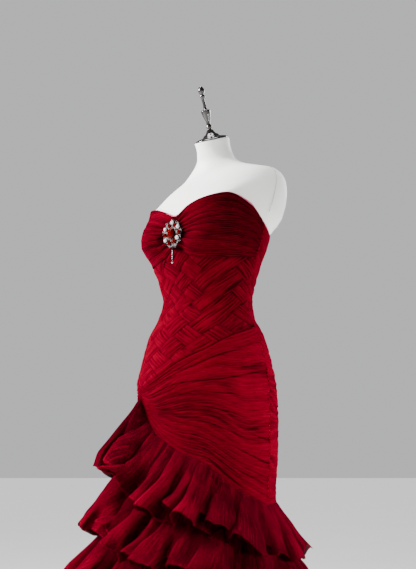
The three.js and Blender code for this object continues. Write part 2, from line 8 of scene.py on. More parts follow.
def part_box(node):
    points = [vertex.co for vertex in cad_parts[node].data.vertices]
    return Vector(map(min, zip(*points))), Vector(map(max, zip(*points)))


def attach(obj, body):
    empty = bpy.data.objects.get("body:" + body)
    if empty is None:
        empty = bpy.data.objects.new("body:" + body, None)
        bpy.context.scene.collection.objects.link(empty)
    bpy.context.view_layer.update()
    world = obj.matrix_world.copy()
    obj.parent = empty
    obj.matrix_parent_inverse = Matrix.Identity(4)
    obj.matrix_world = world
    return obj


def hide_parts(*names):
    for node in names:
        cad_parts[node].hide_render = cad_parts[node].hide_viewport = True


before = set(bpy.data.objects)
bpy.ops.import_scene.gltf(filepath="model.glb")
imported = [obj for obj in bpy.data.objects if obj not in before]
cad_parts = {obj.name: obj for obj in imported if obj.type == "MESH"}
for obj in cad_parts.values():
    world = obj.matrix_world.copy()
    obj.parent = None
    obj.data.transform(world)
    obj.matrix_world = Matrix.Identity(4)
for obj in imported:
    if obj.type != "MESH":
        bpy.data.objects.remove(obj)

# A strapless mermaid dress of pleated chiffon and mesh ruffles, on a limbless dress form.
# Shapes are worked out in millimetres and turned into metres when a mesh is made. The front of the
# dress faces -Y, the wearer's left is +X and the floor is at zero. Angles are in degrees round the
# body, 0 at centre front and growing to the wearer's left.

bl_info = {
    "name": "Mermaid dress",
    "version": (1, 0, 0),
    "blender": (4, 5, 0),
    "location": "3D View > Sidebar > Dress",
    "description": "Builds a pleated mermaid dress on a limbless dress form",
    "category": "Object",
}

MM = 0.001
# Half of the slit at a seam in degrees, the millimetres in a degree round the waist, and the widest
# spacing of points on the hidden side of fitted cloth.
SEAM_GAP = 0.09
DEGREE_WIDTH = 2.2
BACK_STEP = 12
# The bodies that the pieces ride on.
WORN = "dress_on_form"
DROP = "brooch_drop_body"
# The photo's height and focal length in pixels, and how far its eye level lies under its middle.
PHOTO = {"high": 569, "focal": 978, "eye_level": 170.5}


def table(names, *rows):
    """A short table as one dictionary of columns."""
    return dict(zip(names.split(), np.array(rows, float).T))


# Half width, front depth and back depth of the dress at each height.
BODY = table(
    "z half front back",
    (590, 161, 116, 119),
    (620, 161, 116, 119),
    (700, 165, 122, 128),
    (780, 166, 132, 132),
    (840, 166, 147, 122),
    (900, 155, 134, 111),
    (960, 137, 120, 94),
    (1000, 115, 102, 82),
    (1040, 108, 86, 84),
    (1080, 118, 91, 89),
    (1120, 132, 107, 94),
    (1160, 148, 118, 106),
    (1200, 158, 119, 111),
    (1240, 149, 111, 105),
    (1290, 140, 104, 98),
)
NECKLINE = table(
    "angle z",
    (-180, 1165),
    (-105, 1176),
    (-90, 1191),
    (-79, 1227),
    (-57, 1254),
    (-38, 1248),
    (-14, 1231),
    (0, 1220),
    (14, 1240),
    (38, 1259),
    (57, 1266),
    (79, 1238),
    (90, 1199),
    (105, 1182),
    (180, 1165),
)
UNDERBUST = table(
    "angle z",
    (-90, 1129),
    (-45, 1123),
    (-20, 1130),
    (0, 1144),
    (20, 1130),
    (45, 1123),
    (90, 1129),
)
# The angle at which the hip drapes are gathered.
GATHER = -38.5
WRAP_TOP = table(
    "angle z",
    (-90, 880),
    (-60, 853),
    (GATHER, 838),
    (-26, 844),
    (-12, 858),
    (12, 892),
    (36, 918),
    (58, 946),
    (90, 974),
)
RUFFLE_SEAM = table(
    "angle z",
    (-180, 652),
    (-150, 690),
    (-120, 738),
    (-90, 782),
    (-60, 813),
    (GATHER, 824),
    (-32, 786),
    (-25.5, 761),
    (-19, 745),
    (0, 719),
    (12, 706),
    (26, 695),
    (36, 684),
    (54, 648),
    (73, 616),
    (90, 599),
    (120, 604),
    (150, 622),
    (180, 652),
)
# How far a ruffle's hem stands off the skirt, as a share of the ruffle's length.
STAND_OFF = table(
    "angle share",
    (-180, 0.3),
    (-100, 0.31),
    (-30, 0.32),
    (60, 0.3),
    (110, 0.27),
    (180, 0.3),
)
HEM = {"half": 390, "front": 375, "back": 435, "z": 12}
BUST = {"height": 24, "angle": 36, "spread": 24, "z": 1165, "above": 55, "below": 32}
TIERS = 6
TIER_OVERLAP = 1.35
TIER_SHARE = 1 / (TIERS - 1 + TIER_OVERLAP)
# Each tier's flutes: their number, the phases of their start and of the swell in their size, how
# uneven they are, how many degrees their hems lean to the wearer's right in front, and how high
# they sit.
WAVES = table(
    "waves start uneven swell lean seat",
    (13, 0.4, 0.9, 1.1, 15, -0.1),
    (14, 2.1, 1.0, 2.7, 12, 0.7),
    (15, 4.0, 0.8, 0.2, 9, 0.6),
    (16, 1.2, 1.0, 3.9, 7, -0.3),
    (17, 5.2, 0.9, 5.1, 5, 0.5),
    (18, 3.1, 0.8, 1.9, 3, -0.3),
)
# The plait is laid out on a cylinder. slope is its bands' rise over their run, pitch is the height
# from one band to the next, and gap is the share of it left free along each edge.
PLAIT = {"radius": 120, "slope": 0.73, "pitch": 50, "gap": -0.01}
RISING_BANDS = range(17, 25)
FALLING_BANDS = range(15, 25)
# Where rising bands stay on top for a long way, in degrees and heights.
LONG_RUN = {"from": 20, "to": 76, "low": 985, "high": 1120}
# The bare form at each height: half width, front, back, how square it is, how far its sides lie
# back, and how much its back and its left side rise.
FORM = table(
    "z half front back square sweep tilt roll",
    (1165, 146, 108, 104, 2.1, 4, 0, 0),
    (1200, 156, 110, 106, 2.2, 22, 0, 0),
    (1228, 165, 106, 106, 2.3, 38, 0, 0.03),
    (1255, 166, 94, 106, 2.4, 46, 0, 0.05),
    (1282, 164, 74, 104, 2.5, 48, 0, 0.065),
    (1306, 160, 48, 98, 2.5, 44, 0, 0.075),
    (1325, 151, 26, 91, 2.4, 38, 0, 0.08),
    (1338, 137, 12, 86, 2.2, 30, 0, 0.08),
    (1348, 112, 6, 82, 2, 19, 0, 0.07),
    (1360, 80, 4, 77, 2, 6, 0, 0.045),
    (1375, 55, 5, 72, 2, 0, 0.05, 0.02),
    (1392, 44, 11, 65, 2, 0, 0.15, 0),
    (1410, 40.5, 17, 59, 2, 0, 0.27, 0),
    (1428, 41, 24, 55, 2, 0, 0.37, 0),
)
NECK = {"centre": 15.5, "tilt": 0.37, "top": 1428}
FORM_LOW = 800
# The grey line round each arm plate, painted shade where the chest turns to the plate: its two sides in
# degrees, its ends and top, and its radius.
PLATE_SHADE_LINE = {"front": 80, "back": 112, "front_low": 1226, "back_low": 1206, "top": 1339, "wire": 0.75}


# Curves, surfaces and noise


def curve(rows, column, by="angle"):
    """A smooth curve through one column that never overshoots its rows."""
    xs, ys = rows[by], rows[column]
    slopes = np.diff(ys) / np.diff(xs)
    before = np.concatenate([slopes[:1], slopes])
    after = np.concatenate([slopes, slopes[-1:]])
    same = before * after > 0
    tangents = np.where(same, 2 * before * after / np.where(same, before + after, 1), 0)

    def at(x):
        x = np.asarray(x, float)
        i = np.clip(np.searchsorted(xs, x, side="left") - 1, 0, len(xs) - 2)
        step = xs[i + 1] - xs[i]
        t = np.clip((x - xs[i]) / step, 0, 1)
        rise = ys[i] * (2 * t**3 - 3 * t**2 + 1) + ys[i + 1] * (3 * t**2 - 2 * t**3)
        bend = tangents[i] * (t**3 - 2 * t**2 + t) + tangents[i + 1] * (t**3 - t**2)
        return rise + step * bend

    return at


half_at, front_at, back_at = (curve(BODY, c, "z") for c in ("half", "front", "back"))
neckline = curve(NECKLINE, "z")
underbust = curve(UNDERBUST, "z")
wrap_top = curve(WRAP_TOP, "z")
ruffle_seam = curve(RUFFLE_SEAM, "z")
stand_off = curve(STAND_OFF, "share")
form_at = {c: curve(FORM, c, "z") for c in FORM if c != "z"}


def mix(a, b, share):
    """From a at share 0 to b at share 1."""
    return a + (b - a) * share


def soft(x, low=0.0, high=1.0):
    """0 below low, 1 above high and smooth between."""
    t = np.clip((np.asarray(x, float) - low) / (high - low), 0, 1)
    return t * t * (3 - 2 * t)


def bell(distance, spread):
    """1 at no distance, and fading out past the spread on both sides."""
    return np.exp(-((distance / spread) ** 2))


def wrap_angle(angle):
    """The same angle between -180 and 180."""
    return (angle + 180.0) % 360.0 - 180.0


def between(grid, x, y):
    """The value of a grid at a place, smooth between its points and repeating past its edges."""
    columns, rows = grid.shape
    i, j = np.floor(x).astype(int), np.floor(y).astype(int)
    fx, fy = soft(x - i), soft(y - j)

    def at(right, up):
        return grid[(i + right) % columns, (j + up) % rows]

    return mix(mix(at(0, 0), at(1, 0), fx), mix(at(0, 1), at(1, 1), fx), fy)


def noise(x, y, seed, size=64):
    """Smooth noise between -1 and 1, the same on each run."""
    grid = np.random.default_rng(seed).uniform(-1, 1, (size, size))
    x, y = np.broadcast_arrays(np.asarray(x, float), np.asarray(y, float))
    return between(grid, x, y)


def ring_noise(u, v, around_count, seed):
    """Noise that closes on itself after one turn of u, with about so many features round."""
    grid = np.random.default_rng(seed).uniform(-1, 1, (int(around_count), 8))
    return between(grid, u * len(grid), v * 4.0)


def pleat(t, skew=0.7):
    """A soft knife pleat of width 1, from 0 in the valley to 1 on the crest."""
    f = t % 1.0
    ramp = np.where(f < skew, f / skew, (1 - f) / (1 - skew))
    return 0.5 - 0.5 * np.cos(np.pi * ramp)


def creases(u, v, along, across, seed):
    """Thin crease lines of uneven length that run along u: 1 in a crease and 0 away from it."""
    sharp = 10
    spot = across * v + 0.8 * noise(u * along, v * across * 0.3, seed, 128)
    line = (0.5 + 0.5 * np.cos(2 * np.pi * spot)) ** sharp
    return line * soft(noise(u * along * 1.4 + 9, np.round(spot) * 1.37, seed + 1, 128), -0.1, 0.55)


def oval_radius(angle, half, front, back):
    """The radius of an oval that is deeper or shallower in front than behind."""
    sine, cosine = np.sin(np.radians(angle)), np.cos(np.radians(angle))
    return 1 / np.hypot(sine / half, cosine / np.where(cosine > 0, front, back))


def around(angle, radius, z):
    """Points at an angle, a radius and a height."""
    turn = np.radians(angle)
    parts = np.broadcast_arrays(radius * np.sin(turn), -radius * np.cos(turn), z)
    return np.stack(parts, -1).astype(float)


def bust_share(angle, z):
    """How much of the bust's height stands at a place, from 0 to 1."""
    lobes = bell(angle - BUST["angle"], BUST["spread"]) + bell(angle + BUST["angle"], BUST["spread"])
    return lobes * bell(z - BUST["z"], np.where(z > BUST["z"], BUST["above"], BUST["below"]))


def body_point(angle, z):
    """The dress's surface, at an angle and a height."""
    at, z = wrap_angle(np.asarray(angle, float)), np.asarray(z, float)
    radius = oval_radius(at, half_at(z), front_at(z), back_at(z))
    return around(angle, radius + BUST["height"] * bust_share(at, z), z)


def skirt_point(angle, fall):
    """The underskirt's surface: fall is 0 at the ruffle seam and 1 at the hem."""
    at, fall = wrap_angle(np.asarray(angle, float)), np.asarray(fall, float)
    top = ruffle_seam(at)
    start = oval_radius(at, half_at(top), front_at(top), back_at(top))
    end = oval_radius(at, HEM["half"], HEM["front"], HEM["back"])
    radius = mix(start, end, 0.55 * fall + 0.45 * fall * fall)
    return around(angle, radius, mix(top, HEM["z"], fall))


def off(surface, first, second, height, steps):
    """Points at a height over a surface of two numbers, along its outward normal."""
    across = surface(first + steps[0], second) - surface(first - steps[0], second)
    along = surface(first, second + steps[1]) - surface(first, second - steps[1])
    normal = np.cross(across, along)
    normal /= np.linalg.norm(normal, axis=-1, keepdims=True)
    here = surface(first, second)
    inward = (normal[..., :2] * here[..., :2]).sum(-1, keepdims=True) < 0
    return here + np.where(inward, -normal, normal) * np.asarray(height, float)[..., None]


def off_body(angle, z, height):
    return off(body_point, angle, z, height, (0.5, 1.0))


def off_skirt(angle, fall, height):
    return off(skirt_point, angle, fall, height, (0.5, 0.004))


# Meshes


def mesh_object(name, points, faces, place=None):
    """An object from points in millimetres. place holds what the cloth materials read: millimetres
    across and along the cloth, and the fold shading from 0 to 1, which follows how far out of the
    folds each point is and paints shade in the folds and light on their crests."""
    mesh = bpy.data.meshes.new(name)
    mesh.from_pydata((np.asarray(points, float) * MM).tolist(), [], [list(f) for f in faces])
    mesh.validate()
    mesh.shade_smooth()
    # The third value of place is painted shade and painted light for the cloth materials.
    if place is not None:
        data = mesh.attributes.new("cloth", "FLOAT_VECTOR", "POINT")
        data.data.foreach_set("vector", np.asarray(place, np.float32).ravel())
    obj = bpy.data.objects.new(name, mesh)
    bpy.context.scene.collection.objects.link(obj)
    return obj


def lattice(columns, rows, ring, start=0, flip=False):
    """Quads over a grid of columns by rows of points."""
    across = columns if ring else columns - 1
    i, j = np.meshgrid(np.arange(across), np.arange(rows - 1), indexing="ij")
    near, far = i * rows, (i + 1) % columns * rows
    quads = np.stack([near + j, far + j, far + j + 1, near + j + 1], -1).reshape(-1, 4)
    return (quads[:, ::-1] if flip else quads) + start


def faces_out(outer, inner):
    """Whether quads in the grid's own order face away from the inner grid."""
    corner = outer[:-1, :-1]
    normal = np.cross(outer[1:, :-1] - corner, outer[:-1, 1:] - corner)
    return (normal * (corner - inner[:-1, :-1])).sum() > 0


def backed_cloth(name, outer, inner, place):
    """A closed cloth wall whose inner side never shows, and so has only as many points as keep it
    under the outer one."""
    columns, rows = outer.shape[:2]
    gaps = [np.linalg.norm(np.diff(inner, axis=k), axis=-1).max() for k in (0, 1)]
    step = [max(1, int(BACK_STEP / gap)) for gap in gaps]
    across = np.append(np.arange(0, columns - 1, step[0]), columns - 1)
    along = np.append(np.arange(0, rows - 1, step[1]), rows - 1)
    count, wide, high = columns * rows, len(across), len(along)
    faces = [tuple(f) for f in lattice(columns, rows, False)]
    faces += [tuple(f) for f in lattice(wide, high, False, count, True)]
    for k in range(wide - 1):
        run = np.arange(across[k], across[k + 1] + 1) * rows
        low, high_end = count + k * high, count + (k + 1) * high
        faces.append((*run[::-1], low, high_end))
        faces.append((*(run + rows - 1), high_end + high - 1, low + high - 1))
    for k in range(high - 1):
        run = np.arange(along[k], along[k + 1] + 1)
        faces.append((*run, count + k + 1, count + k))
        last = count + (wide - 1) * high
        faces.append((*(run[::-1] + (columns - 1) * rows), last + k, last + k + 1))
    if not faces_out(outer, inner):
        faces = [face[::-1] for face in faces]
    some = np.ix_(across, along)
    points = np.concatenate([outer.reshape(-1, 3), inner[some].reshape(-1, 3)])
    spots = np.concatenate([place.reshape(-1, 3), place[some].reshape(-1, 3)])
    return mesh_object(name, points, faces, spots)


def cloth(name, outer, inner, place, ring=False, keep=None):
    """A closed cloth wall between two grids of points."""
    columns, rows = outer.shape[:2]
    count = columns * rows
    over, under = lattice(columns, rows, ring), lattice(columns, rows, ring, count, True)
    if keep is not None:
        over, under = over[keep.ravel()], under[keep.ravel()]
    edges = np.concatenate([over[:, [k, (k + 1) % 4]] for k in range(4)])
    key = edges[:, 0] * np.int64(count) + edges[:, 1]
    back = edges[:, 1] * np.int64(count) + edges[:, 0]
    free = edges[~np.isin(key, back)]
    rim = np.stack([free[:, 1], free[:, 0], free[:, 0] + count, free[:, 1] + count], -1)
    points = np.concatenate([outer.reshape(-1, 3), inner.reshape(-1, 3)])
    faces = np.concatenate([over, under, rim])
    if not faces_out(outer, inner):
        faces = faces[:, ::-1]
    used, faces = np.unique(faces, return_inverse=True)
    spots = np.concatenate([place.reshape(-1, 3)] * 2)
    return mesh_object(name, points[used], faces.reshape(-1, 4), spots[used])


def finish_piece(obj, material, slot, replaces=(), body=WORN):
    """Gives a piece its material, its body and the nodes that it stands for."""
    obj.data.materials.append(material)
    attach(obj, body)
    if replaces:
        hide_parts(*replaces)
    return obj


def tube(path, radius, sides=8, closed=True):
    """Points and quads of a wire swept along a path in millimetres."""
    path = np.asarray(path, float)
    if closed:
        ahead = np.roll(path, -1, 0) - np.roll(path, 1, 0)
    else:
        ahead = np.gradient(path, axis=0)
    ahead /= np.linalg.norm(ahead, axis=1, keepdims=True)
    side = np.cross(ahead, np.tile([0.0, 1.0, 0.0], (len(path), 1)))
    side /= np.linalg.norm(side, axis=1, keepdims=True)
    up = np.cross(side, ahead)
    turn = np.arange(sides) * 2 * np.pi / sides
    radius = np.broadcast_to(radius, len(path))[:, None, None]
    ring = np.cos(turn)[None, :, None] * side[:, None] + np.sin(turn)[None, :, None] * up[:, None]
    points = (path[:, None] + radius * ring).reshape(-1, 3)
    count = len(path)
    i, j = np.meshgrid(np.arange(count if closed else count - 1), np.arange(sides), indexing="ij")
    near, far = i * sides, (i + 1) % count * sides
    quads = np.stack([near + j, near + (j + 1) % sides, far + (j + 1) % sides, far + j], -1)
    faces = [tuple(q) for q in quads.reshape(-1, 4)]
    if not closed:
        faces.append(tuple(range(sides))[::-1])
        faces.append(tuple(range((count - 1) * sides, count * sides)))
    return points, faces


def turned(rows, segments):
    """Points and faces of a turned shape from rows of height and radius, standing on Z."""
    points, faces, starts = [], [], []
    turn = np.arange(segments) * 2 * np.pi / segments
    for up, radius in rows:
        starts.append(len(points))
        if radius <= 0:
            points.append((0.0, 0.0, up))
        else:
            for angle in turn:
                points.append((radius * math.cos(angle), radius * math.sin(angle), up))
    for k in range(len(rows) - 1):
        low, high = starts[k], starts[k + 1]
        for i in range(segments):
            j = (i + 1) % segments
            if rows[k][1] <= 0:
                faces.append((low, high + j, high + i))
            elif rows[k + 1][1] <= 0:
                faces.append((low + i, low + j, high))
            else:
                faces.append((low + i, low + j, high + j, high + i))
    if rows[0][1] > 0:
        faces.append(tuple(range(segments))[::-1])
    if rows[-1][1] > 0:
        faces.append(tuple(range(starts[-1], starts[-1] + segments)))
    return np.array(points, float), faces


def join(parts):
    """Joins (points, faces) pairs into one."""
    points, faces, start = [], [], 0
    for p, f in parts:
        points.append(np.asarray(p, float))
        faces += [tuple(k + start for k in face) for face in f]
        start += len(p)
    return np.concatenate(points), faces


# Materials


def new_group(name, inputs, outputs):
    """A shader node group with its sockets, and its input and output nodes."""
    group = bpy.data.node_groups.new(name, "ShaderNodeTree")
    for label, kind, default in inputs:
        socket = group.interface.new_socket(label, in_out="INPUT", socket_type=kind)
        if default is not None:
            socket.default_value = default
    for label, kind in outputs:
        group.interface.new_socket(label, in_out="OUTPUT", socket_type=kind)
    return group, group.nodes.new("NodeGroupInput"), group.nodes.new("NodeGroupOutput")


def feed(tree, socket, value):
    """Links a socket to an input, or sets the input to a number."""
    if isinstance(value, bpy.types.NodeSocket):
        tree.links.new(value, socket)
    else:
        socket.default_value = value


def add_node(tree, kind, **inputs):
    """A node whose named inputs are numbers or sockets."""
    node = tree.nodes.new(kind)
    for key, value in inputs.items():
        feed(tree, node.inputs[key], value)
    return node


def cloudy(tree, vector, scale, detail, rough):
    """Noise texture over a vector, from 0 to 1."""
    node = add_node(
        tree, "ShaderNodeTexNoise", Vector=vector, Scale=scale, Detail=detail, Roughness=rough
    )
    return node.outputs["Fac"]


def maths(tree, operation, *values):
    """The output of one sum over numbers and sockets."""
    node = tree.nodes.new("ShaderNodeMath")
    node.operation = operation
    for socket, value in zip(node.inputs, values):
        feed(tree, socket, value)
    return node.outputs[0]


def clamped(tree, value):
    return add_node(tree, "ShaderNodeClamp", Value=value).outputs[0]


def crepe_group():
    """Crinkled threads along the pleats, a crepe grain, uneven dye, and painted shade and light from
    the fold shading in Place's third value, scaled by Depth.
    """
    if "Crepe" in bpy.data.node_groups:
        return bpy.data.node_groups["Crepe"]
    group, given, result = new_group(
        "Crepe",
        [
            ("Place", "NodeSocketVector", None),
            ("Crinkle", "NodeSocketFloat", 1.0),
            ("Depth", "NodeSocketFloat", 1.0),
        ],
        [("Tone", "NodeSocketFloat"), ("Height", "NodeSocketFloat"), ("Rough", "NodeSocketFloat")],
    )
    split = add_node(group, "ShaderNodeSeparateXYZ", Vector=given.outputs["Place"])
    along = maths(group, "MULTIPLY", split.outputs[0], 0.035)
    across = maths(group, "MULTIPLY", split.outputs[1], 0.42)
    streaks = add_node(group, "ShaderNodeCombineXYZ", X=along, Y=across, Z=0.0)
    lines = cloudy(group, streaks.outputs[0], 1.0, 3.0, 0.65)
    flat = add_node(group, "ShaderNodeCombineXYZ", X=split.outputs[0], Y=split.outputs[1], Z=0.0)
    grain = cloudy(group, flat.outputs[0], 0.9, 2.0, 0.6)
    dye = cloudy(group, flat.outputs[0], 0.03, 3.0, 0.5)
    crinkle = maths(group, "MULTIPLY", lines, given.outputs["Crinkle"])
    height = maths(group, "ADD", crinkle, maths(group, "MULTIPLY", grain, 0.3))
    # Painted shade and light: the fold shading darkens the tone in folds and lightens it on crests.
    fold = maths(group, "MULTIPLY", split.outputs[2], given.outputs["Depth"])
    tone = maths(group, "MULTIPLY_ADD", lines, 0.9, -0.45)
    tone = maths(group, "ADD", tone, fold)
    tone = maths(group, "MULTIPLY_ADD", dye, 0.3, tone)
    tone = maths(group, "MULTIPLY_ADD", grain, 0.3, tone)
    tone = clamped(group, maths(group, "SUBTRACT", tone, 0.32))
    rough = maths(group, "MULTIPLY_ADD", grain, 0.25, 0.55)
    for label, value in (("Tone", tone), ("Height", height), ("Rough", rough)):
        group.links.new(value, result.inputs[label])
    return group


def net_group():
    """A sheer net: fine crossing threads, cloudy where layers of thread bunch up."""
    if "Net" in bpy.data.node_groups:
        return bpy.data.node_groups["Net"]
    group, given, result = new_group(
        "Net",
        [
            ("Place", "NodeSocketVector", None),
            ("Pitch", "NodeSocketFloat", 1.6),
            ("Cover", "NodeSocketFloat", 0.8),
        ],
        [
            ("Tone", "NodeSocketFloat"),
            ("Height", "NodeSocketFloat"),
            ("Cover", "NodeSocketFloat"),
            ("Rough", "NodeSocketFloat"),
        ],
    )
    split = add_node(group, "ShaderNodeSeparateXYZ", Vector=given.outputs["Place"])
    turn = maths(group, "DIVIDE", math.tau, given.outputs["Pitch"])
    threads = []
    for axis in (0, 1):
        wave = maths(group, "COSINE", maths(group, "MULTIPLY", split.outputs[axis], turn))
        threads.append(maths(group, "MULTIPLY_ADD", wave, 0.5, 0.5))
    weave = maths(group, "MAXIMUM", *threads)
    flat = add_node(group, "ShaderNodeCombineXYZ", X=split.outputs[0], Y=split.outputs[1], Z=0.0)
    grain = cloudy(group, flat.outputs[0], 0.42, 5.0, 0.85)
    cloud = cloudy(group, flat.outputs[0], 0.02, 2.0, 0.5)
    thin = maths(group, "MULTIPLY", split.outputs[0], 0.36)
    long = maths(group, "MULTIPLY", split.outputs[1], 0.016)
    down = add_node(group, "ShaderNodeCombineXYZ", X=thin, Y=long, Z=0.0)
    streaks = cloudy(group, down.outputs[0], 1.0, 3.0, 0.6)
    # Painted shade and light: the fold shading from Place's third value darkens valleys and lightens
    # crests.
    tone = maths(group, "MULTIPLY", split.outputs[2], 0.75)
    tone = maths(group, "MULTIPLY_ADD", streaks, 1.9, tone)
    tone = maths(group, "MULTIPLY_ADD", grain, 2.9, tone)
    tone = maths(group, "MULTIPLY_ADD", cloud, 0.8, tone)
    tone = maths(group, "MULTIPLY_ADD", weave, 0.15, tone)
    tone = clamped(group, maths(group, "SUBTRACT", tone, 2.82))
    cover = maths(group, "MULTIPLY_ADD", weave, 0.14, given.outputs["Cover"])
    cover = maths(group, "MULTIPLY_ADD", grain, 0.2, cover)
    cover = clamped(group, maths(group, "SUBTRACT", cover, 0.15))
    height = maths(group, "MULTIPLY_ADD", grain, 0.3, maths(group, "MULTIPLY", weave, 0.15))
    height = maths(group, "MULTIPLY_ADD", streaks, 1.5, height)
    rough = maths(group, "MULTIPLY_ADD", grain, 0.2, 0.5)
    for label, value in (("Tone", tone), ("Height", height), ("Cover", cover), ("Rough", rough)):
        group.links.new(value, result.inputs[label])
    return group


def wear_and_glint_group():
    """Faint cloudiness and fine scratches for hard surfaces; in cut stones the cloudiness, sharpened,
    makes painted glints.
    """
    if "Surface wear and glints" in bpy.data.node_groups:
        return bpy.data.node_groups["Surface wear and glints"]
    group, given, result = new_group(
        "Surface wear and glints",
        [
            ("Place", "NodeSocketVector", None),
            ("Size", "NodeSocketFloat", 1.0),
            ("Amount", "NodeSocketFloat", 0.5),
        ],
        [("Tone", "NodeSocketFloat"), ("Height", "NodeSocketFloat"), ("Rough", "NodeSocketFloat")],
    )
    place, size, amount = (given.outputs[label] for label in ("Place", "Size", "Amount"))
    cloud = cloudy(group, place, maths(group, "MULTIPLY", size, 9.0), 4.0, 0.5)
    fine = cloudy(group, place, maths(group, "MULTIPLY", size, 420.0), 2.0, 0.5)
    group.links.new(maths(group, "MULTIPLY", cloud, amount), result.inputs["Tone"])
    group.links.new(fine, result.inputs["Height"])
    group.links.new(maths(group, "MULTIPLY", fine, amount), result.inputs["Rough"])
    return group


def start_material(name):
    """A new material, its tree and its shader."""
    material = bpy.data.materials.new(name)
    material.use_nodes = True
    tree = material.node_tree
    return material, tree, tree.nodes["Principled BSDF"]


def ramp(tree, value, low, high):
    """A colour between low and high."""
    node = tree.nodes.new("ShaderNodeMix")
    node.data_type = "RGBA"
    tree.links.new(value, node.inputs["Factor"])
    node.inputs["A"].default_value = (*low, 1)
    node.inputs["B"].default_value = (*high, 1)
    return node.outputs["Result"]


def bump(tree, height, distance, shader, strength=1.0):
    node = add_node(tree, "ShaderNodeBump", Height=height, Distance=distance, Strength=strength)
    tree.links.new(node.outputs[0], shader.inputs["Normal"])


def place_group(tree, group, **inputs):
    """One of the shared groups in a material, with its own values."""
    node = tree.nodes.new("ShaderNodeGroup")
    node.node_tree = group
    for key, value in inputs.items():
        feed(tree, node.inputs[key], value)
    return node


def cloth_place(tree):
    """What mesh_object stored for the cloth materials to read."""
    node = tree.nodes.new("ShaderNodeAttribute")
    node.attribute_type = "GEOMETRY"
    node.attribute_name = "cloth"
    return node.outputs["Vector"]


SHEEN = (0.6, 0.0, 0.05, 1)


def chiffon(name, deep, bright, crinkle=1.0, depth=0.75, sheen=0.3):
    """Crinkled chiffon, with painted shade deep in its folds and a painted highlight on their crests.
    """
    material, tree, shader = start_material(name)
    crepe = place_group(tree, crepe_group(), Place=cloth_place(tree), Crinkle=crinkle, Depth=depth)
    tree.links.new(ramp(tree, crepe.outputs["Tone"], deep, bright), shader.inputs["Base Color"])
    tree.links.new(crepe.outputs["Rough"], shader.inputs["Roughness"])
    shader.inputs["Sheen Weight"].default_value = sheen
    shader.inputs["Sheen Roughness"].default_value = 0.45
    shader.inputs["Sheen Tint"].default_value = SHEEN
    shader.inputs["Specular IOR Level"].default_value = 0.0
    bump(tree, crepe.outputs["Height"], 0.0012, shader)
    return material


def net(name, deep, bright, cover):
    """Sheer net that lets through what its threads don't cover."""
    material, tree, shader = start_material(name)
    group = place_group(tree, net_group(), Place=cloth_place(tree), Pitch=1.6, Cover=cover)
    tree.links.new(ramp(tree, group.outputs["Tone"], deep, bright), shader.inputs["Base Color"])
    tree.links.new(group.outputs["Rough"], shader.inputs["Roughness"])
    tree.links.new(group.outputs["Cover"], shader.inputs["Alpha"])
    shader.inputs["Sheen Weight"].default_value = 0.3
    shader.inputs["Sheen Tint"].default_value = SHEEN
    shader.inputs["Specular IOR Level"].default_value = 0.0
    bump(tree, group.outputs["Height"], 0.0016, shader)
    return material


def hard(name, low, high, rough, metallic=0.0, size=1.0, coat=0.0, grain=0.0, gloss=0.5):
    """A hard or close surface, slightly uneven in colour and roughness."""
    material, tree, shader = start_material(name)
    place = tree.nodes.new("ShaderNodeTexCoord").outputs["Object"]
    wear_and_glint = place_group(tree, wear_and_glint_group(), Place=place, Size=size, Amount=0.5)
    tone = maths(tree, "MULTIPLY", wear_and_glint.outputs["Tone"], 2.0)
    tree.links.new(ramp(tree, tone, low, high), shader.inputs["Base Color"])
    value = maths(tree, "MULTIPLY_ADD", wear_and_glint.outputs["Rough"], 0.25, rough)
    tree.links.new(value, shader.inputs["Roughness"])
    shader.inputs["Metallic"].default_value = metallic
    shader.inputs["Specular IOR Level"].default_value = gloss
    shader.inputs["Coat Weight"].default_value = coat
    shader.inputs["Coat Roughness"].default_value = 0.06
    if grain:
        bump(tree, wear_and_glint.outputs["Height"], grain, shader, 0.4)
    return material


def stone(name, colour, glint, shine):
    """Cut glass: a smooth surface over small dark and light patches, painted reflections like those
    that cut facets show.
    """
    material, tree, shader = start_material(name)
    place = tree.nodes.new("ShaderNodeTexCoord").outputs["Object"]
    wear_and_glint = place_group(tree, wear_and_glint_group(), Place=place, Size=45.0, Amount=1.0)
    # Painted glints: the sharpened cloudiness picks patches of the glint colour on each stone.
    tone = maths(tree, "MULTIPLY_ADD", wear_and_glint.outputs["Tone"], 4.5, -1.7)
    tree.links.new(ramp(tree, clamped(tree, tone), colour, glint), shader.inputs["Base Color"])
    shader.inputs["Roughness"].default_value = 0.05
    shader.inputs["Specular IOR Level"].default_value = shine
    return material


# Settings


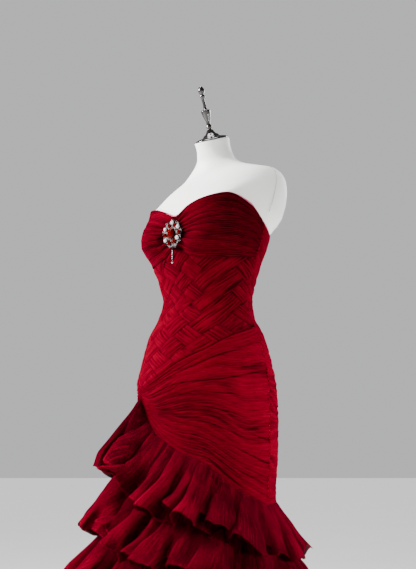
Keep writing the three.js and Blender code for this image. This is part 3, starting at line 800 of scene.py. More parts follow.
class DressCloth(bpy.types.PropertyGroup):
    bust_pleats: bpy.props.IntProperty(
        name="Bust pleats", description="Fine pleats over each bust drape", default=38, min=8, max=48
    )
    hip_folds: bpy.props.IntProperty(
        name="Hip folds", description="Soft folds fanned over the left hip", default=13, min=4, max=24
    )
    back_folds: bpy.props.IntProperty(
        name="Back folds", description="Ruched folds down each back panel", default=23, min=6, max=40
    )
    band_pleats: bpy.props.IntProperty(
        name="Band pleats", description="Pleats across each plaited band", default=6, min=1, max=10
    )
    # The chiffon's deep colour is painted shade in the folds and its bright colour carries painted
    # highlight on the crests.
    chiffon_deep: bpy.props.FloatVectorProperty(
        name="Chiffon in the folds",
        description="Colour of the chiffon where folds are deep",
        default=(0.006, 0.0, 0.0004),
        subtype="COLOR",
        min=0,
        max=1,
    )
    chiffon_bright: bpy.props.FloatVectorProperty(
        name="Chiffon on the crests",
        description="Colour of the chiffon on the crests of the folds",
        default=(0.135, 0.0, 0.0076),
        subtype="COLOR",
        min=0,
        max=1,
    )
    # The net's deep colour is painted shade in the folds and its bright colour carries painted
    # highlight on the crests.
    net_deep: bpy.props.FloatVectorProperty(
        name="Net in the folds",
        description="Colour of the mesh ruffles in their folds",
        default=(0.006, 0.0, 0.0005),
        subtype="COLOR",
        min=0,
        max=1,
    )
    net_bright: bpy.props.FloatVectorProperty(
        name="Net on the crests",
        description="Colour of the mesh ruffles on their crests",
        default=(0.115, 0.0, 0.007),
        subtype="COLOR",
        min=0,
        max=1,
    )
    net_cover: bpy.props.FloatProperty(
        name="Net cover",
        description="How much of the light a layer of mesh stops",
        default=0.82,
        min=0.1,
        max=1,
        subtype="FACTOR",
    )


class DressStage(bpy.types.PropertyGroup):
    azimuth: bpy.props.FloatProperty(
        name="Camera round",
        description="How far the camera stands round to the wearer's left",
        default=math.radians(38),
        subtype="ANGLE",
    )
    distance: bpy.props.FloatProperty(
        name="Camera distance", description="From the pole's axis", default=2.2, unit="LENGTH"
    )
    height: bpy.props.FloatProperty(
        name="Camera height", description="Above the floor", default=0.698, unit="LENGTH"
    )
    tilt: bpy.props.FloatProperty(
        name="Camera tilt",
        description="Up from level",
        default=math.atan(PHOTO["eye_level"] / PHOTO["focal"]),
        subtype="ANGLE",
    )
    key_power: bpy.props.FloatProperty(
        name="Key light", description="Power of the large soft light", default=400, unit="POWER"
    )


def cloth_settings():
    """The sizes and colours of the cloth that the panel shows."""
    return bpy.context.scene.dress_cloth


def chiffon_material():
    made = bpy.data.materials.get("Crimson chiffon")
    if made:
        return made
    settings = cloth_settings()
    return chiffon("Crimson chiffon", settings.chiffon_deep, settings.chiffon_bright)


def lining_material():
    made = bpy.data.materials.get("Crimson lining")
    return made or chiffon("Crimson lining", (0.012, 0.0, 0.001), (0.07, 0.0, 0.004), 0.3, 0.3, 0.0)


def net_material():
    made = bpy.data.materials.get("Crimson net")
    if made:
        return made
    settings = cloth_settings()
    return net("Crimson net", settings.net_deep, settings.net_bright, settings.net_cover)


# Fitted cloth


def panel_cloth(name, angle, z, height, inner, fold):
    """A fitted panel from grids of angle, height above the floor and height over the body, over an
    inner side at one height."""
    radius = 140.0
    place = np.stack(np.broadcast_arrays(np.radians(angle) * radius, z, fold), -1)
    return backed_cloth(name, off_body(angle, z, height), off_body(angle, z, inner), place)


def drape(node, angle, z, height, inner, fold):
    """A panel of chiffon for a node."""
    obj = panel_cloth(f"{node}_cloth", angle, z, height, inner, fold)
    finish_piece(obj, chiffon_material(), "chiffon", [node])


def bust_drape(side):
    """Pleats that run out of the brooch and arch over the cup."""
    settings = cloth_settings()
    u, v = np.meshgrid(np.linspace(0, 1, 96), np.linspace(0, 1, 216), indexing="ij")
    sign = 1 if side == "left" else -1
    seed = 11 if side == "left" else 12
    angle = sign * mix(SEAM_GAP, 90 - SEAM_GAP, u**1.15)
    pull = 0.7 * bell(u, 0.22) * (1 - np.abs(2 * v - 1) ** 3)
    share = 0.45 + (v - 0.45) * (1 - pull)
    z = mix(underbust(angle) - 1.5, neckline(angle) - 0.2, share)
    drift = 0.32 * noise(u * 3.1, v * 5, seed) + 0.14 * noise(u * 9, v * 14, seed + 4)
    large = pleat(8 * v + 1.3 * drift + 0.2, 0.62)
    near = bell(u, 0.26 + 0.1 * noise(v * 9, 0 * v, seed + 3))
    small = pleat(settings.bust_pleats * v + 2.2 * drift + 1.1 * u, 0.7)
    loose = 0.75 + 0.3 * noise(u * 3, v * settings.bust_pleats * 0.45, seed + 9)
    crease = creases(u, v, 3, 22, seed + 20) * soft(u, 0.02, 0.12)
    pocket = bell(u - 0.2, 0.045) * bell(v - 0.36, 0.09)
    deep = 4.2 * near + 0.5 * (1 - near) * (1 + 0.6 * noise(u * 2, v * 4, seed + 2))
    fine = (0.95 - 0.3 * near) * loose
    edge = soft(1 - v, 0, 0.018) * soft(v, 0, 0.03)
    crest = 0.6 * soft(u, 0.0, 0.1) + 0.9 * soft(u, 0.12, 0.4)
    height = crest - (deep * (1 - large) + fine * (1 - small) + 0.9 * crease) * mix(0.35, 1, edge)
    roll = 1.2 * bell(v - 0.012, 0.018) + 0.5 * bell(1 - v - 0.008, 0.012)
    height += roll * soft(u, 0.1, 0.25) - 3.0 * pocket
    # Fold shading: painted shade in the deep pleats and creases, a painted shadow in the pocket beside
    # the brooch, and painted shade towards the side seam.
    fold = 1 - 0.8 * near * (1 - large) - 0.5 * (1 - small) * loose - 0.12 * (1 - large)
    fold = np.clip(fold - 0.5 * crease - 1.4 * pocket - 0.4 * soft(u, 0.12, 0.7), 0, 1)
    drape(f"bust_drape_{side}", angle, z, np.maximum(height, -3.4), -4.4, fold)


def midriff_panel():
    """The smooth panel that the plait lies on."""
    u, v = np.meshgrid(np.linspace(0, 1, 90), np.linspace(0, 1, 40), indexing="ij")
    angle = mix(-89.9, 89.9, u)
    z = mix(wrap_top(angle) + 0.3, underbust(angle) - 0.3, v)
    height = -2.4 + 0.15 * noise(u * 40, v * 30, 21)
    fold = 0.2 + 0 * u
    obj = panel_cloth("midriff_lining", angle, z, height, -3.8, fold)
    finish_piece(obj, lining_material(), "lining", ["midriff_panel"])


def rising_over(rising, falling):
    """Whether the rising band lies on top where two bands cross. Left of the body it stays on top
    for a long way, under the bust."""
    pitch, slope, radius = PLAIT["pitch"], PLAIT["slope"], PLAIT["radius"]
    turn = (falling - rising) * np.degrees(pitch / (2 * slope) / radius)
    z = pitch / 2 * (rising + falling + 1)
    beside = (turn > LONG_RUN["from"]) & (turn < LONG_RUN["to"])
    long_run = beside & (z > LONG_RUN["low"]) & (z < LONG_RUN["high"])
    return ((rising + falling) % 2 == 0) | long_run


def plait_band(family, index, node):
    """One pleated band that runs over and under the bands of the other family, which is 1 for
    rising and -1 for falling. a and b count the bands of both families at a place."""
    settings = cloth_settings()
    seed = 100 + index * 2 + (family > 0)
    rng = np.random.default_rng(seed)
    radius, slope, pitch = PLAIT["radius"], PLAIT["slope"], PLAIT["pitch"]
    points_per_crossing = 14
    b = np.arange(12, 60, 1 / points_per_crossing)
    count = settings.band_pleats
    b, v = np.meshgrid(b, np.linspace(0, 1, 5 * count + 1), indexing="ij")
    sway = 0.05 * noise(b * 0.7, 0 * b, seed)
    a = index + mix(PLAIT["gap"], 1 - PLAIT["gap"], v) + sway * (1 - abs(2 * v - 1))
    angle = np.degrees(family * pitch * (b - a) / (2 * slope) / radius)
    z = pitch * (a + b) / 2
    inside = np.minimum(underbust(angle) - z, z - wrap_top(angle))
    side = (90 - np.abs(angle)) * DEGREE_WIDTH
    step, share = np.floor(b), b % 1.0

    def over(k):
        first, second = (index, k) if family > 0 else (k, index)
        top = rising_over(first, second)
        return np.where(top if family > 0 else ~top, 1.0, -1.0)

    width = 0.2
    rising = mix(over(step - 1), over(step), soft(share, -width, width))
    falling = mix(over(step), over(step + 1), soft(share, 1 - width, 1 + width))
    lift = np.where(share < 0.5, rising, falling)
    spot = count * v + 0.5 * noise(b * 0.9, v * 3, seed + 7) + 0.3 * noise(b * 0.5, v * 9, seed + 8)
    depth = rng.uniform(0.5, 1.6, 64)[np.clip(spot, 0, 60).astype(int)]
    ease = np.clip(0.8 + 0.9 * noise(b * 1.6, v * count, seed + 50), 0.1, 1.7)
    folds = pleat(spot, 0.68)
    fine = depth * ease * (0.6 + 0.4 * (lift > 0)) * soft(1 - abs(2 * v - 1), 0, 0.08)
    crown = (1 - (2 * v - 1) ** 4) * (0.9 + 0.7 * soft(lift, -1, 1))
    height = 0.65 + 1.05 * lift + crown - fine * (1 - folds)
    tucked = soft(inside, -3, 9)
    height = mix(-3.1, height, tucked) - 0.8 * (1 - soft(side, 0, 7))
    outer = off_body(angle, z, height)
    inner = off_body(angle, z, np.minimum(height - 1.0, mix(-0.9, 0.9, soft(lift, -1, 1))))
    # Fold shading: painted shade in the pleats, where the band passes under, along its edges, where it
    # tucks under, and on the wearer's left side between 35 and 70 degrees.
    fold = 1 - 0.65 * (1 - folds) * np.clip(depth * ease, 0, 1) - 0.42 * (1 - soft(lift, -1, 0.6))
    fold = fold - 0.25 * (abs(2 * v - 1) > 0.86) - 0.22 * soft(angle, 35, 70)
    fold = np.clip(fold * mix(0.5, 1, tucked), 0, 1)
    place = np.stack([b * 42.0 + 500 * index, v * 38.0, fold], -1)
    keep = (inside > -7) & (side > -1.6)
    keep = keep[:-1, :-1] | keep[1:, :-1] | keep[:-1, 1:] | keep[1:, 1:]
    keep = longest_run(keep)
    obj = cloth(f"{node}_band", outer, inner, place, keep=keep)
    finish_piece(obj, chiffon_material(), "chiffon", [node])


def longest_run(keep):
    """Keeps the longest unbroken stretch of a band, so that it stays one piece."""
    rows = keep.any(axis=1)
    ends = np.flatnonzero(np.diff(np.concatenate([[0], rows.astype(int), [0]])))
    starts, stops = ends[::2], ends[1::2]
    k = int(np.argmax(stops - starts))
    mask = np.zeros(len(rows), bool)
    mask[starts[k] : stops[k]] = True
    return keep & mask[:, None]


def hip_drape_left():
    """Soft folds that fan out of the gather to the left side seam, crossed by finer creases."""
    settings = cloth_settings()
    u, v = np.meshgrid(np.linspace(0, 1, 190), np.linspace(0, 1, 260), indexing="ij")
    angle = mix(GATHER + SEAM_GAP, 90 - SEAM_GAP, u**1.1)
    z = mix(ruffle_seam(angle) - 3.5, wrap_top(angle) + 1.0, v)
    drift = 0.7 * noise(u * 2.2, v * 3.5, 31) + 0.3 * noise(u * 6, v * 8, 32)
    count = settings.hip_folds
    folds = pleat(count * v + 1.7 * drift + 1.6 * u, 0.66)
    second = pleat(2.6 * count * v + 3.4 * drift - 1.5 * u, 0.5)
    strong = np.clip(0.5 + 0.5 * noise(u * 2.2, v * count * 0.6, 33), 0, 1.2)
    creased = np.clip(0.6 + 0.7 * noise(u * 3.5, v * count * 0.9, 34), 0, 1.2)
    third = pleat(5.2 * count * v + 4.5 * drift + 0.8 * u, 0.6)
    long_lines = creases(u, v + 0.05 * u, 3, 21, 60)
    short_lines = creases(u + 0.9 * v, v - 0.08 * u, 6, 37, 63) * creased
    spread = soft(u, 0.0, 0.1)
    deep = (0.25 + 1.9 * strong) * spread
    mid = 0.75 * creased * spread
    height = 1.6 - deep * (1 - folds) - mid * (1 - second) - 0.45 * spread * (1 - third)
    height += 0.6 * noise(u * 4, v * 7, 35) * spread - (1.3 * long_lines + 0.8 * short_lines) * spread
    edge = np.clip(bell(v - 0.99, 0.016) + bell(v - 0.008, 0.014), 0, 1)
    height = mix(height, 2.2, edge)
    gather = bell(u, 0.06)
    knots = pleat(7 * v + 0.5 * noise(v * 9, u * 3, 66), 0.5)
    height = mix(height, 2.0 - 3.2 * (1 - knots), gather)
    height = np.maximum(height, -3.0)
    # Fold shading: painted shade in the folds, the creases and the knots of the gather.
    fold = 1 - 0.38 * (1 - folds) * strong - 0.3 * (1 - second) * creased - 0.2 * (1 - third)
    fold = fold - 0.6 * long_lines - 0.4 * short_lines - 0.4 * gather * (1 - knots)
    drape("hip_drape_left", angle, z, height, -4.4, np.clip(fold, 0.12, 1))


def hip_drape_right():
    """The other side's folds, drawn into the same gather."""
    u, v = np.meshgrid(np.linspace(0, 1, 80), np.linspace(0, 1, 80), indexing="ij")
    angle = mix(SEAM_GAP - 90, GATHER - SEAM_GAP, u)
    z = mix(ruffle_seam(angle) - 3.0, wrap_top(angle) + 1.0, v)
    drift = 0.5 * noise(u * 2, v * 3, 41)
    folds = pleat(6 * v + drift, 0.6)
    second = pleat(15 * v + 2 * drift, 0.4)
    height = 1.6 - 2.2 * (1 - folds) - 0.7 * (1 - second)
    height = mix(height, 2.2 - 2.6 * (1 - pleat(5 * v, 0.5)), bell(1 - u, 0.1))
    # Fold shading: painted shade in the folds.
    fold = 1 - 0.55 * (1 - folds) - 0.25 * (1 - second)
    drape("hip_drape_right", angle, z, height, -4.4, fold)


def back_panel(side):
    """Horizontal ruching between the side seam and centre back."""
    settings = cloth_settings()
    sign, seed = (1, 51) if side == "left" else (-1, 61)
    u, v = np.meshgrid(np.linspace(0, 1, 64), np.linspace(0, 1, 216), indexing="ij")
    angle = sign * mix(90 + SEAM_GAP, 180 - SEAM_GAP, u)
    at = wrap_angle(angle)
    z = mix(ruffle_seam(at) - 3.0, neckline(at) - 0.2, v)
    drift = 0.6 * noise(u * 3, v * 9, seed) + 0.25 * noise(u * 8, v * 20, seed + 1)
    folds = pleat(settings.back_folds * v + 1.6 * drift + 0.9 * u, 0.55)
    second = pleat(settings.back_folds * 2.4 * v + 2.5 * drift, 0.5)
    strong = np.clip(0.55 + 0.7 * noise(u * 4, v * settings.back_folds * 0.9, seed + 2), 0, 1.2)
    lines = creases(u, v, 4, 46, seed + 5)
    pinch = 1 + 0.8 * bell(u, 0.12) + 0.6 * bell(1 - u, 0.1)
    height = 1.3 - (0.5 + 1.7 * strong) * pinch * 0.8 * (1 - folds) - 0.5 * (1 - second)
    height -= 0.9 * lines
    # Fold shading: painted shade in the folds and creases.
    fold = np.clip(1 - 0.55 * (1 - folds) * strong - 0.2 * (1 - second) - 0.35 * lines, 0, 1)
    drape(f"back_panel_{side}", angle, z, np.maximum(height, -2.6), -4.2, fold)


# Skirt


def underskirt_gore(name, low, high):
    """A plain gore from the ruffle seam to the hem, between two angles."""
    u, v = np.meshgrid(np.linspace(0, 1, 46), np.linspace(0, 1, 24), indexing="ij")
    angle = mix(low + SEAM_GAP, high - SEAM_GAP, u)
    height = -3.4 + 1.0 * v * np.cos(np.radians(angle) * 22)
    outer = off_skirt(angle, mix(0.0003, 1, v), height)
    inner = off_skirt(angle, mix(0.0003, 1, v), height - 1.2)
    place = np.stack(np.broadcast_arrays(np.radians(angle) * 300, v * 640, 0.3), -1)
    obj = cloth(f"underskirt_{name}_cloth", outer, inner, place)
    finish_piece(obj, lining_material(), "lining", [f"underskirt_{name}"])


def ruffle_points(tier, u, v, lift, layer=0):
    """A tier's surface: gathered at its seam and swinging out into uneven flutes at its hem. Layer 0
    is the outer one and each further layer is shorter and hangs closer. u goes once round and v down
    from the seam to the hem. The fold shading is painted highlight on the flutes' crests and at the
    hem's edge. It is painted shade between them, on the inner layers, at the first tier's right front
    and at the left front of the first two tiers."""
    row = {key: WAVES[key][tier] for key in WAVES}
    turn, seed = u * 2 * np.pi, 200 + 20 * tier + layer
    phase = (
        row["waves"] * turn
        + row["start"]
        + 2.1 * layer
        + row["uneven"] * np.sin(2 * turn + row["start"])
        + 0.6 * row["uneven"] * np.sin(5 * turn + row["swell"])
    )
    angle = wrap_angle(u * 360 - 180)
    clearance = 0.004
    drop = (ruffle_seam(angle) - HEM["z"]) * TIER_SHARE
    length = drop * TIER_OVERLAP
    reach = length * stand_off(angle) * (1 - 0.27 * layer)
    size = 0.47 * reach * (1 + 0.14 * np.sin(3 * turn + row["swell"]))
    crest = np.cos(phase + 0.22 * np.sin(phase))
    second = np.cos(2 * phase + 1.3 * np.sin(3 * turn + row["start"]) + row["swell"])
    small = ring_noise(u, 0.7 * v, 3 * row["waves"], seed + 1)
    tiny = ring_noise(u, 1.2 * v, 8 * row["waves"], seed + 2)
    out = reach + size * (0.8 * crest + 0.34 * second * soft(v, 0.15, 0.8))
    valley = 0.24 * reach * soft(-crest, 0.1, 1.0) * soft(v, 0.2, 0.9)
    flutter = 0.26 * reach * small * soft(v, 0.05, 0.6) + 0.07 * reach * tiny * soft(v, 0.2, 1)
    flutter = flutter * mix(1, 0.5, soft(crest, 0.3, 1)) - valley
    shift = mix(0.055, 0.1, soft(v, 0.2, 1)) * 360 * np.sin(2 * phase) / row["waves"]
    shift += 2.2 * soft(v, 0.2, 1) * ring_noise(u, 0.5 * v, 2 * row["waves"], seed + 3)
    swing = v * (shift - row["lean"] * bell(angle, 70))
    fallen = np.sqrt(1 - (out / length) ** 2) * length
    ragged = 0.07 * ring_noise(u, 0 * v, 34, seed + 4) + 0.045 * ring_noise(u, 0 * v, 92, seed + 7)
    ragged += 0.016 * ring_noise(u, 0 * v, 240, seed + 5)
    hem = 1 - 0.11 * layer + (ragged - 0.02) * soft(v, 0.6, 1)
    fall = tier * TIER_SHARE + clearance + v * hem * (fallen - clearance * drop) * TIER_SHARE / drop
    gathers = ring_noise(u, v * 0.5, 112, seed + 6)
    pinches = 2.4 * gathers * soft(v, 0.0, 0.08) * (1 - 0.8 * soft(v, 0.1, 0.9))
    belly = 1 + 0.03 * np.sin(np.pi * v) * (1 + 0.5 * crest)
    height = row["seat"] + lift + v * out * belly + flutter + pinches - 0.5 * layer
    # Painted highlight on the crests and at the hem's edge, painted shade in the valleys and on the
    # inner layers.
    fold = 0.4 + 0.3 * crest * v + 0.2 * second * v + 0.35 * small * v
    fold += 0.45 * gathers * (1 - 0.5 * v) + 0.25 * tiny - 0.15 * layer + 0.6 * soft(v, 0.97, 0.995)
    # Painted shade at the first tier's right front and at the left front of the first two tiers.
    fold -= 0.62 * (tier == 0) * bell(angle + 70, 48) * (1 - 0.5 * soft(v, 0.9, 1))
    fold -= 0.5 * (tier < 2) * bell(angle - 61, 15) * (0.4 + 0.6 * v)
    points = off_skirt(angle + swing, np.minimum(fall, 1), height)
    return points, np.clip(fold, 0, 1), length


def ruffle(tier, layer):
    """One layer of a tier, with more points in the layer that shows most."""
    columns, rows = ((520, 19), (340, 12), (240, 9))[layer]
    fall = 1 - (1 - np.linspace(0, 1, rows)) ** 1.25
    u, v = np.meshgrid(np.arange(columns) / columns, fall, indexing="ij")
    outer, fold, length = ruffle_points(tier, u, v, 0.7, layer)
    inner = ruffle_points(tier, u, v, 0.0, layer)[0]
    place = np.stack([u * 2400 + 90 * tier + 40 * layer, v * length, fold], -1)
    name = f"ruffle_{tier + 1}_" + ("net", "under", "lining")[layer]
    obj = cloth(name, outer, inner, place, ring=True)
    finish_piece(obj, net_material(), "organza", [] if layer else [f"ruffle_{tier + 1}"])


# Form and stand


def worn_point(angle, z):
    """The form under the dress, some millimetres inside it."""
    point = body_point(angle, z)
    flat = point * [1, 1, 0]
    flat /= np.linalg.norm(flat, axis=-1, keepdims=True)
    slack = 5 + 2.6 * bell(z - 1060, 90) + 1.8 * bust_share(wrap_angle(angle), z)
    return point - flat * slack[..., None]


def bare_point(angle, z):
    """The form's bare shoulders and neck."""
    value = {key: at(z) for key, at in form_at.items()}
    sine, cosine = np.sin(np.radians(angle)), np.cos(np.radians(angle))
    power = 2 / value["square"]
    middle, depth = (value["back"] - value["front"]) / 2, (value["back"] + value["front"]) / 2
    x = value["half"] * np.sign(sine) * np.abs(sine) ** power
    y = middle - depth * np.sign(cosine) * np.abs(cosine) ** power + value["sweep"] * sine**2
    z = z + value["tilt"] * (y - NECK["centre"]) + value["roll"] * x
    return np.stack(np.broadcast_arrays(x, y, z), -1)


def form_skin():
    """The form from below the hips to the neck, which follows the dress and then its own shape."""
    worn, bare, columns = 34, 60, 120
    angle = np.arange(columns) * 360 / columns
    at = wrap_angle(angle)[:, None]
    edge = neckline(at) + 2
    low = mix(float(FORM_LOW), edge, np.linspace(0, 1, worn)[None])
    high = mix(edge, float(NECK["top"]), np.linspace(0, 1, bare + 1)[None, 1:])
    share = np.clip((high - edge) / 40, 0, 1)
    share = (share * (2 - share))[..., None]
    top = mix(worn_point(at + 0 * high, high), bare_point(at + 0 * high, high), share)
    grid = np.concatenate([worn_point(at + 0 * low, low), top], 1)
    rows = grid.shape[1]
    faces = [tuple(f) for f in lattice(columns, rows, True)]
    faces.append(tuple(np.arange(columns)[::-1] * rows))
    faces.append(tuple(np.arange(columns) * rows + rows - 1))
    obj = mesh_object("form_skin", grid.reshape(-1, 3), faces)
    material = hard("White form", (0.92, 0.92, 0.9), (0.96, 0.96, 0.94), 0.42, grain=0.0003)
    finish_piece(obj, material, "shell", ["form_body"])


def plate_shade_lines():
    """A fine grey line round each arm plate of the form, painted shade where the chest turns to the
    plate.
    """
    # A grey tube laid on the white form as painted shade.
    shade = hard("Form painted shade line", (0.5, 0.5, 0.48), (0.62, 0.62, 0.6), 0.6, gloss=0.2)
    front, back, top = (float(PLATE_SHADE_LINE[key]) for key in ("front", "back", "top"))
    rise = np.linspace(0, 1, 25)
    for side, sign in (("left", 1), ("right", -1)):
        up = bare_point(sign * front, mix(PLATE_SHADE_LINE["front_low"], top, rise))
        over = bare_point(sign * mix(front, back, rise[1:-1]), top + 0 * rise[1:-1])
        down = bare_point(sign * back, mix(top, PLATE_SHADE_LINE["back_low"], rise))
        path = np.concatenate([up, over, down])
        wire = tube(path, PLATE_SHADE_LINE["wire"], closed=False)
        finish_piece(mesh_object(f"form_plate_shade_line_{side}", *wire), shade, "shell")


# Turned profiles as pairs of height and radius.
FINIAL = (
    (0, 38.6), (0.6, 39), (2.2, 39), (3.0, 38.2), (4.4, 35.5), (5.8, 31.8), (7.0, 26), (8.2, 20.6),
    (9.4, 19.2), (12.4, 17.4), (13.6, 15.4), (15.4, 12.4), (18.5, 10.2), (22, 8.4), (25, 6.2), (27, 5),
    (28.6, 5.6), (30.2, 6.5), (32, 6.9), (34, 6.4), (35.8, 5.3), (37, 4.9), (40.5, 4.6), (44, 4.9),
    (50, 6.6), (58, 9), (64, 10.5), (68, 11), (69.8, 11.2), (71, 10.6), (72, 7.6), (73, 4.4), (76, 3.8),
    (86, 3.3), (94, 3.8), (100, 4.4), (102, 5.4), (104, 6.1), (106, 5.6), (108, 4.6), (110.5, 5.4),
    (114, 6.9), (117, 7.5), (121, 6.9), (125, 5.0), (127.6, 2.8), (129, 0),
)
FOOT = (
    (0, 163), (0.8, 164.4), (2.4, 165), (6.4, 165), (8.2, 164), (10, 160), (11.4, 120), (13.2, 60),
    (14, 44), (17, 38.5), (22, 34), (28, 32.6), (40, 30.5), (49, 27), (51.2, 24.5), (52, 21),
)
POLE = (
    (52.3, 15.4), (53, 16), (420, 16), (421, 18.6), (423, 19.4), (437, 19.4), (439, 18.6), (440, 14),
    (783, 14), (784, 16), (791, 28.6), (792.5, 30), (799, 30), (799.7, 29.4),
)


def form_trim():
    """The turned cap and finial on the tilted neck, and the pole and its round foot."""
    lacquer = hard("Black lacquer", (0.006, 0.005, 0.005), (0.016, 0.012, 0.011), 0.1, coat=1.0)
    obj = mesh_object("neck_cap_finial_turned", *turned(FINIAL, 64))
    tilt, gap = math.atan(NECK["tilt"]), 0.45
    seat = Vector((0, NECK["centre"] - gap * math.sin(tilt), NECK["top"] + gap * math.cos(tilt)))
    obj.data.transform(Matrix.Translation(seat * MM) @ Matrix.Rotation(tilt, 4, "X"))
    finish_piece(obj, lacquer, "lacquer", ["neck_cap_finial"])
    for node, rows in (("stand_foot", FOOT), ("stand_pole", POLE)):
        obj = mesh_object(f"{node}_turned", *turned(rows, 96))
        finish_piece(obj, lacquer, "lacquer", [node])


# Brooch


def facet_stone(width, height, depth, sides, centre):
    """A cut stone facing -Y: girdle, crown facets and table."""
    rings = ((1.0, 0.0), (1.0, 0.28), (0.78, 0.7), (0.5, 1.0))
    points, faces = [], []
    for k, (share, out) in enumerate(rings):
        twist = 0.5 * (k == 2)
        for i in range(sides):
            turn = (i + twist) * 2 * math.pi / sides
            x, z = width * share * math.sin(turn), height * share * math.cos(turn)
            points.append((centre[0] + x, centre[1] - depth * out, centre[2] + z))
    for i in range(sides):
        j = (i + 1) % sides
        faces.append((i, j, sides + j, sides + i))
        a, b = sides, 2 * sides
        faces.append((a + i, a + j, b + i))
        faces.append((a + j, b + j, b + i))
        c = 3 * sides
        faces.append((b + i, c + j, c + i))
        faces.append((b + i, b + j, c + j))
    faces.append(tuple(range(sides))[::-1])
    faces.append(tuple(range(3 * sides, 4 * sides)))
    return np.array(points, float), faces


def loop(centre, wide, high, y, count, lean=0.0):
    """An oval path facing -Y, round a centre of x and z."""
    turn = np.arange(count) * 2 * np.pi / count
    x, z = wide * np.sin(turn), high * np.cos(turn)
    cosine, sine = math.cos(lean), math.sin(lean)
    return np.stack(
        [centre[0] + x * cosine + z * sine, y + 0 * x, centre[1] - x * sine + z * cosine], -1
    )


# Places and half widths of the stones, from the middle of the plate.
CRYSTALS = ((1, 25, 4.6), (17, 14, 4.6), (15, -10, 4.8), (-19, 12, 4.2), (-18, -13, 4.4))
GARNETS = (
    (-9, 19.5, 3.4), (9.5, 18, 3.2), (19, 2, 3.6), (5, -17, 3.4), (-8, -21, 3.2), (-20.5, -0.5, 3),
)
CENTRE_STONE = {"x": -3, "z": 1, "wide": 8.8, "high": 12.2, "deep": 6.2}
RIM = {"wide": 25.6, "high": 30.6, "scallops": 9, "wave": 1.8}
OUTER_LOOPS = {"wide": 21.8, "high": 26.6, "x": 0}
INNER_LOOPS = {"wide": 14.4, "high": 18.6, "x": -1}
DROP_STONES = (-5.5, -9.8, -14.0, -18.2, -22.2)
DROP_RED = -27.4
DROP_CLEAR = -31.9


def on_oval(at, wide, high, x, z):
    """A place on an oval, at an angle from its top."""
    return x + wide * math.sin(at), z + high * math.cos(at)


def between_scallops(loops, middle):
    """A turn and a place on an oval of loops for each scallop of the rim."""
    for k in range(RIM["scallops"]):
        at = (k + 0.5) * math.tau / RIM["scallops"]
        yield at, on_oval(at, loops["wide"], loops["high"], loops["x"], middle)


def rim_path(y, middle, count):
    """The plate's scalloped outline."""
    turn = np.arange(count) * 2 * np.pi / count
    wave = RIM["wave"] * np.cos(RIM["scallops"] * turn)
    x, z = (RIM["wide"] + wave) * np.sin(turn), middle + (RIM["high"] + wave) * np.cos(turn)
    return np.stack([x, y + 0 * turn, z], -1)


def filigree(front, y, middle):
    """Wires and beads of the openwork plate, and the collets and claws of its stones."""
    centre_x, centre_z = CENTRE_STONE["x"], middle + CENTRE_STONE["z"]
    parts = [
        tube(rim_path(y, middle, 180), 0.55),
        tube(loop((centre_x, centre_z), 10.4, 13.8, y - 0.6, 64), 0.6),
        tube(loop((-1, middle), 18.5, 23.0, y, 90), 0.45),
    ]
    for at, spot in between_scallops(OUTER_LOOPS, middle):
        parts.append(tube(loop(spot, 4.6, 3.0, y - 0.4, 28, at), 0.4))
    for at, spot in between_scallops(INNER_LOOPS, middle):
        parts.append(tube(loop(spot, 2.6, 4.6, y - 0.2, 28, at), 0.4))
    for bead in rim_path(y - 0.9, middle, 5 * RIM["scallops"]):
        parts.append(ball(bead, 0.7))
    for x, z, size in CRYSTALS + GARNETS:
        collet = 1.02 * size
        parts.append(tube(loop((x, middle + z), collet, collet, front + 0.6, 24), 0.5))
        for k in range(4):
            claw = on_oval((k + 0.5) * math.tau / 4, size, size, x, middle + z)
            parts.append(ball((claw[0], front - 0.6, claw[1]), 0.62))
    for k in range(8):
        claw = on_oval((k + 0.5) * math.tau / 8, 8.2, 11.8, centre_x, centre_z)
        parts.append(ball((claw[0], front - 0.9, claw[1]), 0.95))
    return mesh_object("brooch_filigree", *join(parts))


def brooch_backing(back, middle):
    """A thin scalloped plate behind the openwork."""
    rim = rim_path(back, middle, 180)
    heart, count = rim.mean(0), len(rim)
    edge = np.concatenate([(rim - heart) * share + heart for share in (0.94, 0.98, 0.94)])
    edge[:, 1] = np.repeat([back - 0.3, back - 0.8, back - 1.3], count)
    faces = [tuple(f) for f in lattice(3, count, False)]
    for first in (0, count):
        last = first + count
        faces.append((last - 1, last + count - 1, last, first))
    faces += [tuple(range(count)), tuple(range(2 * count, 3 * count))[::-1]]
    obj = mesh_object("brooch_backing", edge, faces)
    for face in obj.data.polygons:
        face.use_smooth = len(face.vertices) == 4
    return obj


def cut_stones(name, parts, glass, slot, replaces=(), body=WORN):
    """One piece of cut stones, flat on every facet."""
    obj = mesh_object(name, *join(parts))
    for face in obj.data.polygons:
        face.use_smooth = False
    finish_piece(obj, glass, slot, replaces, body)


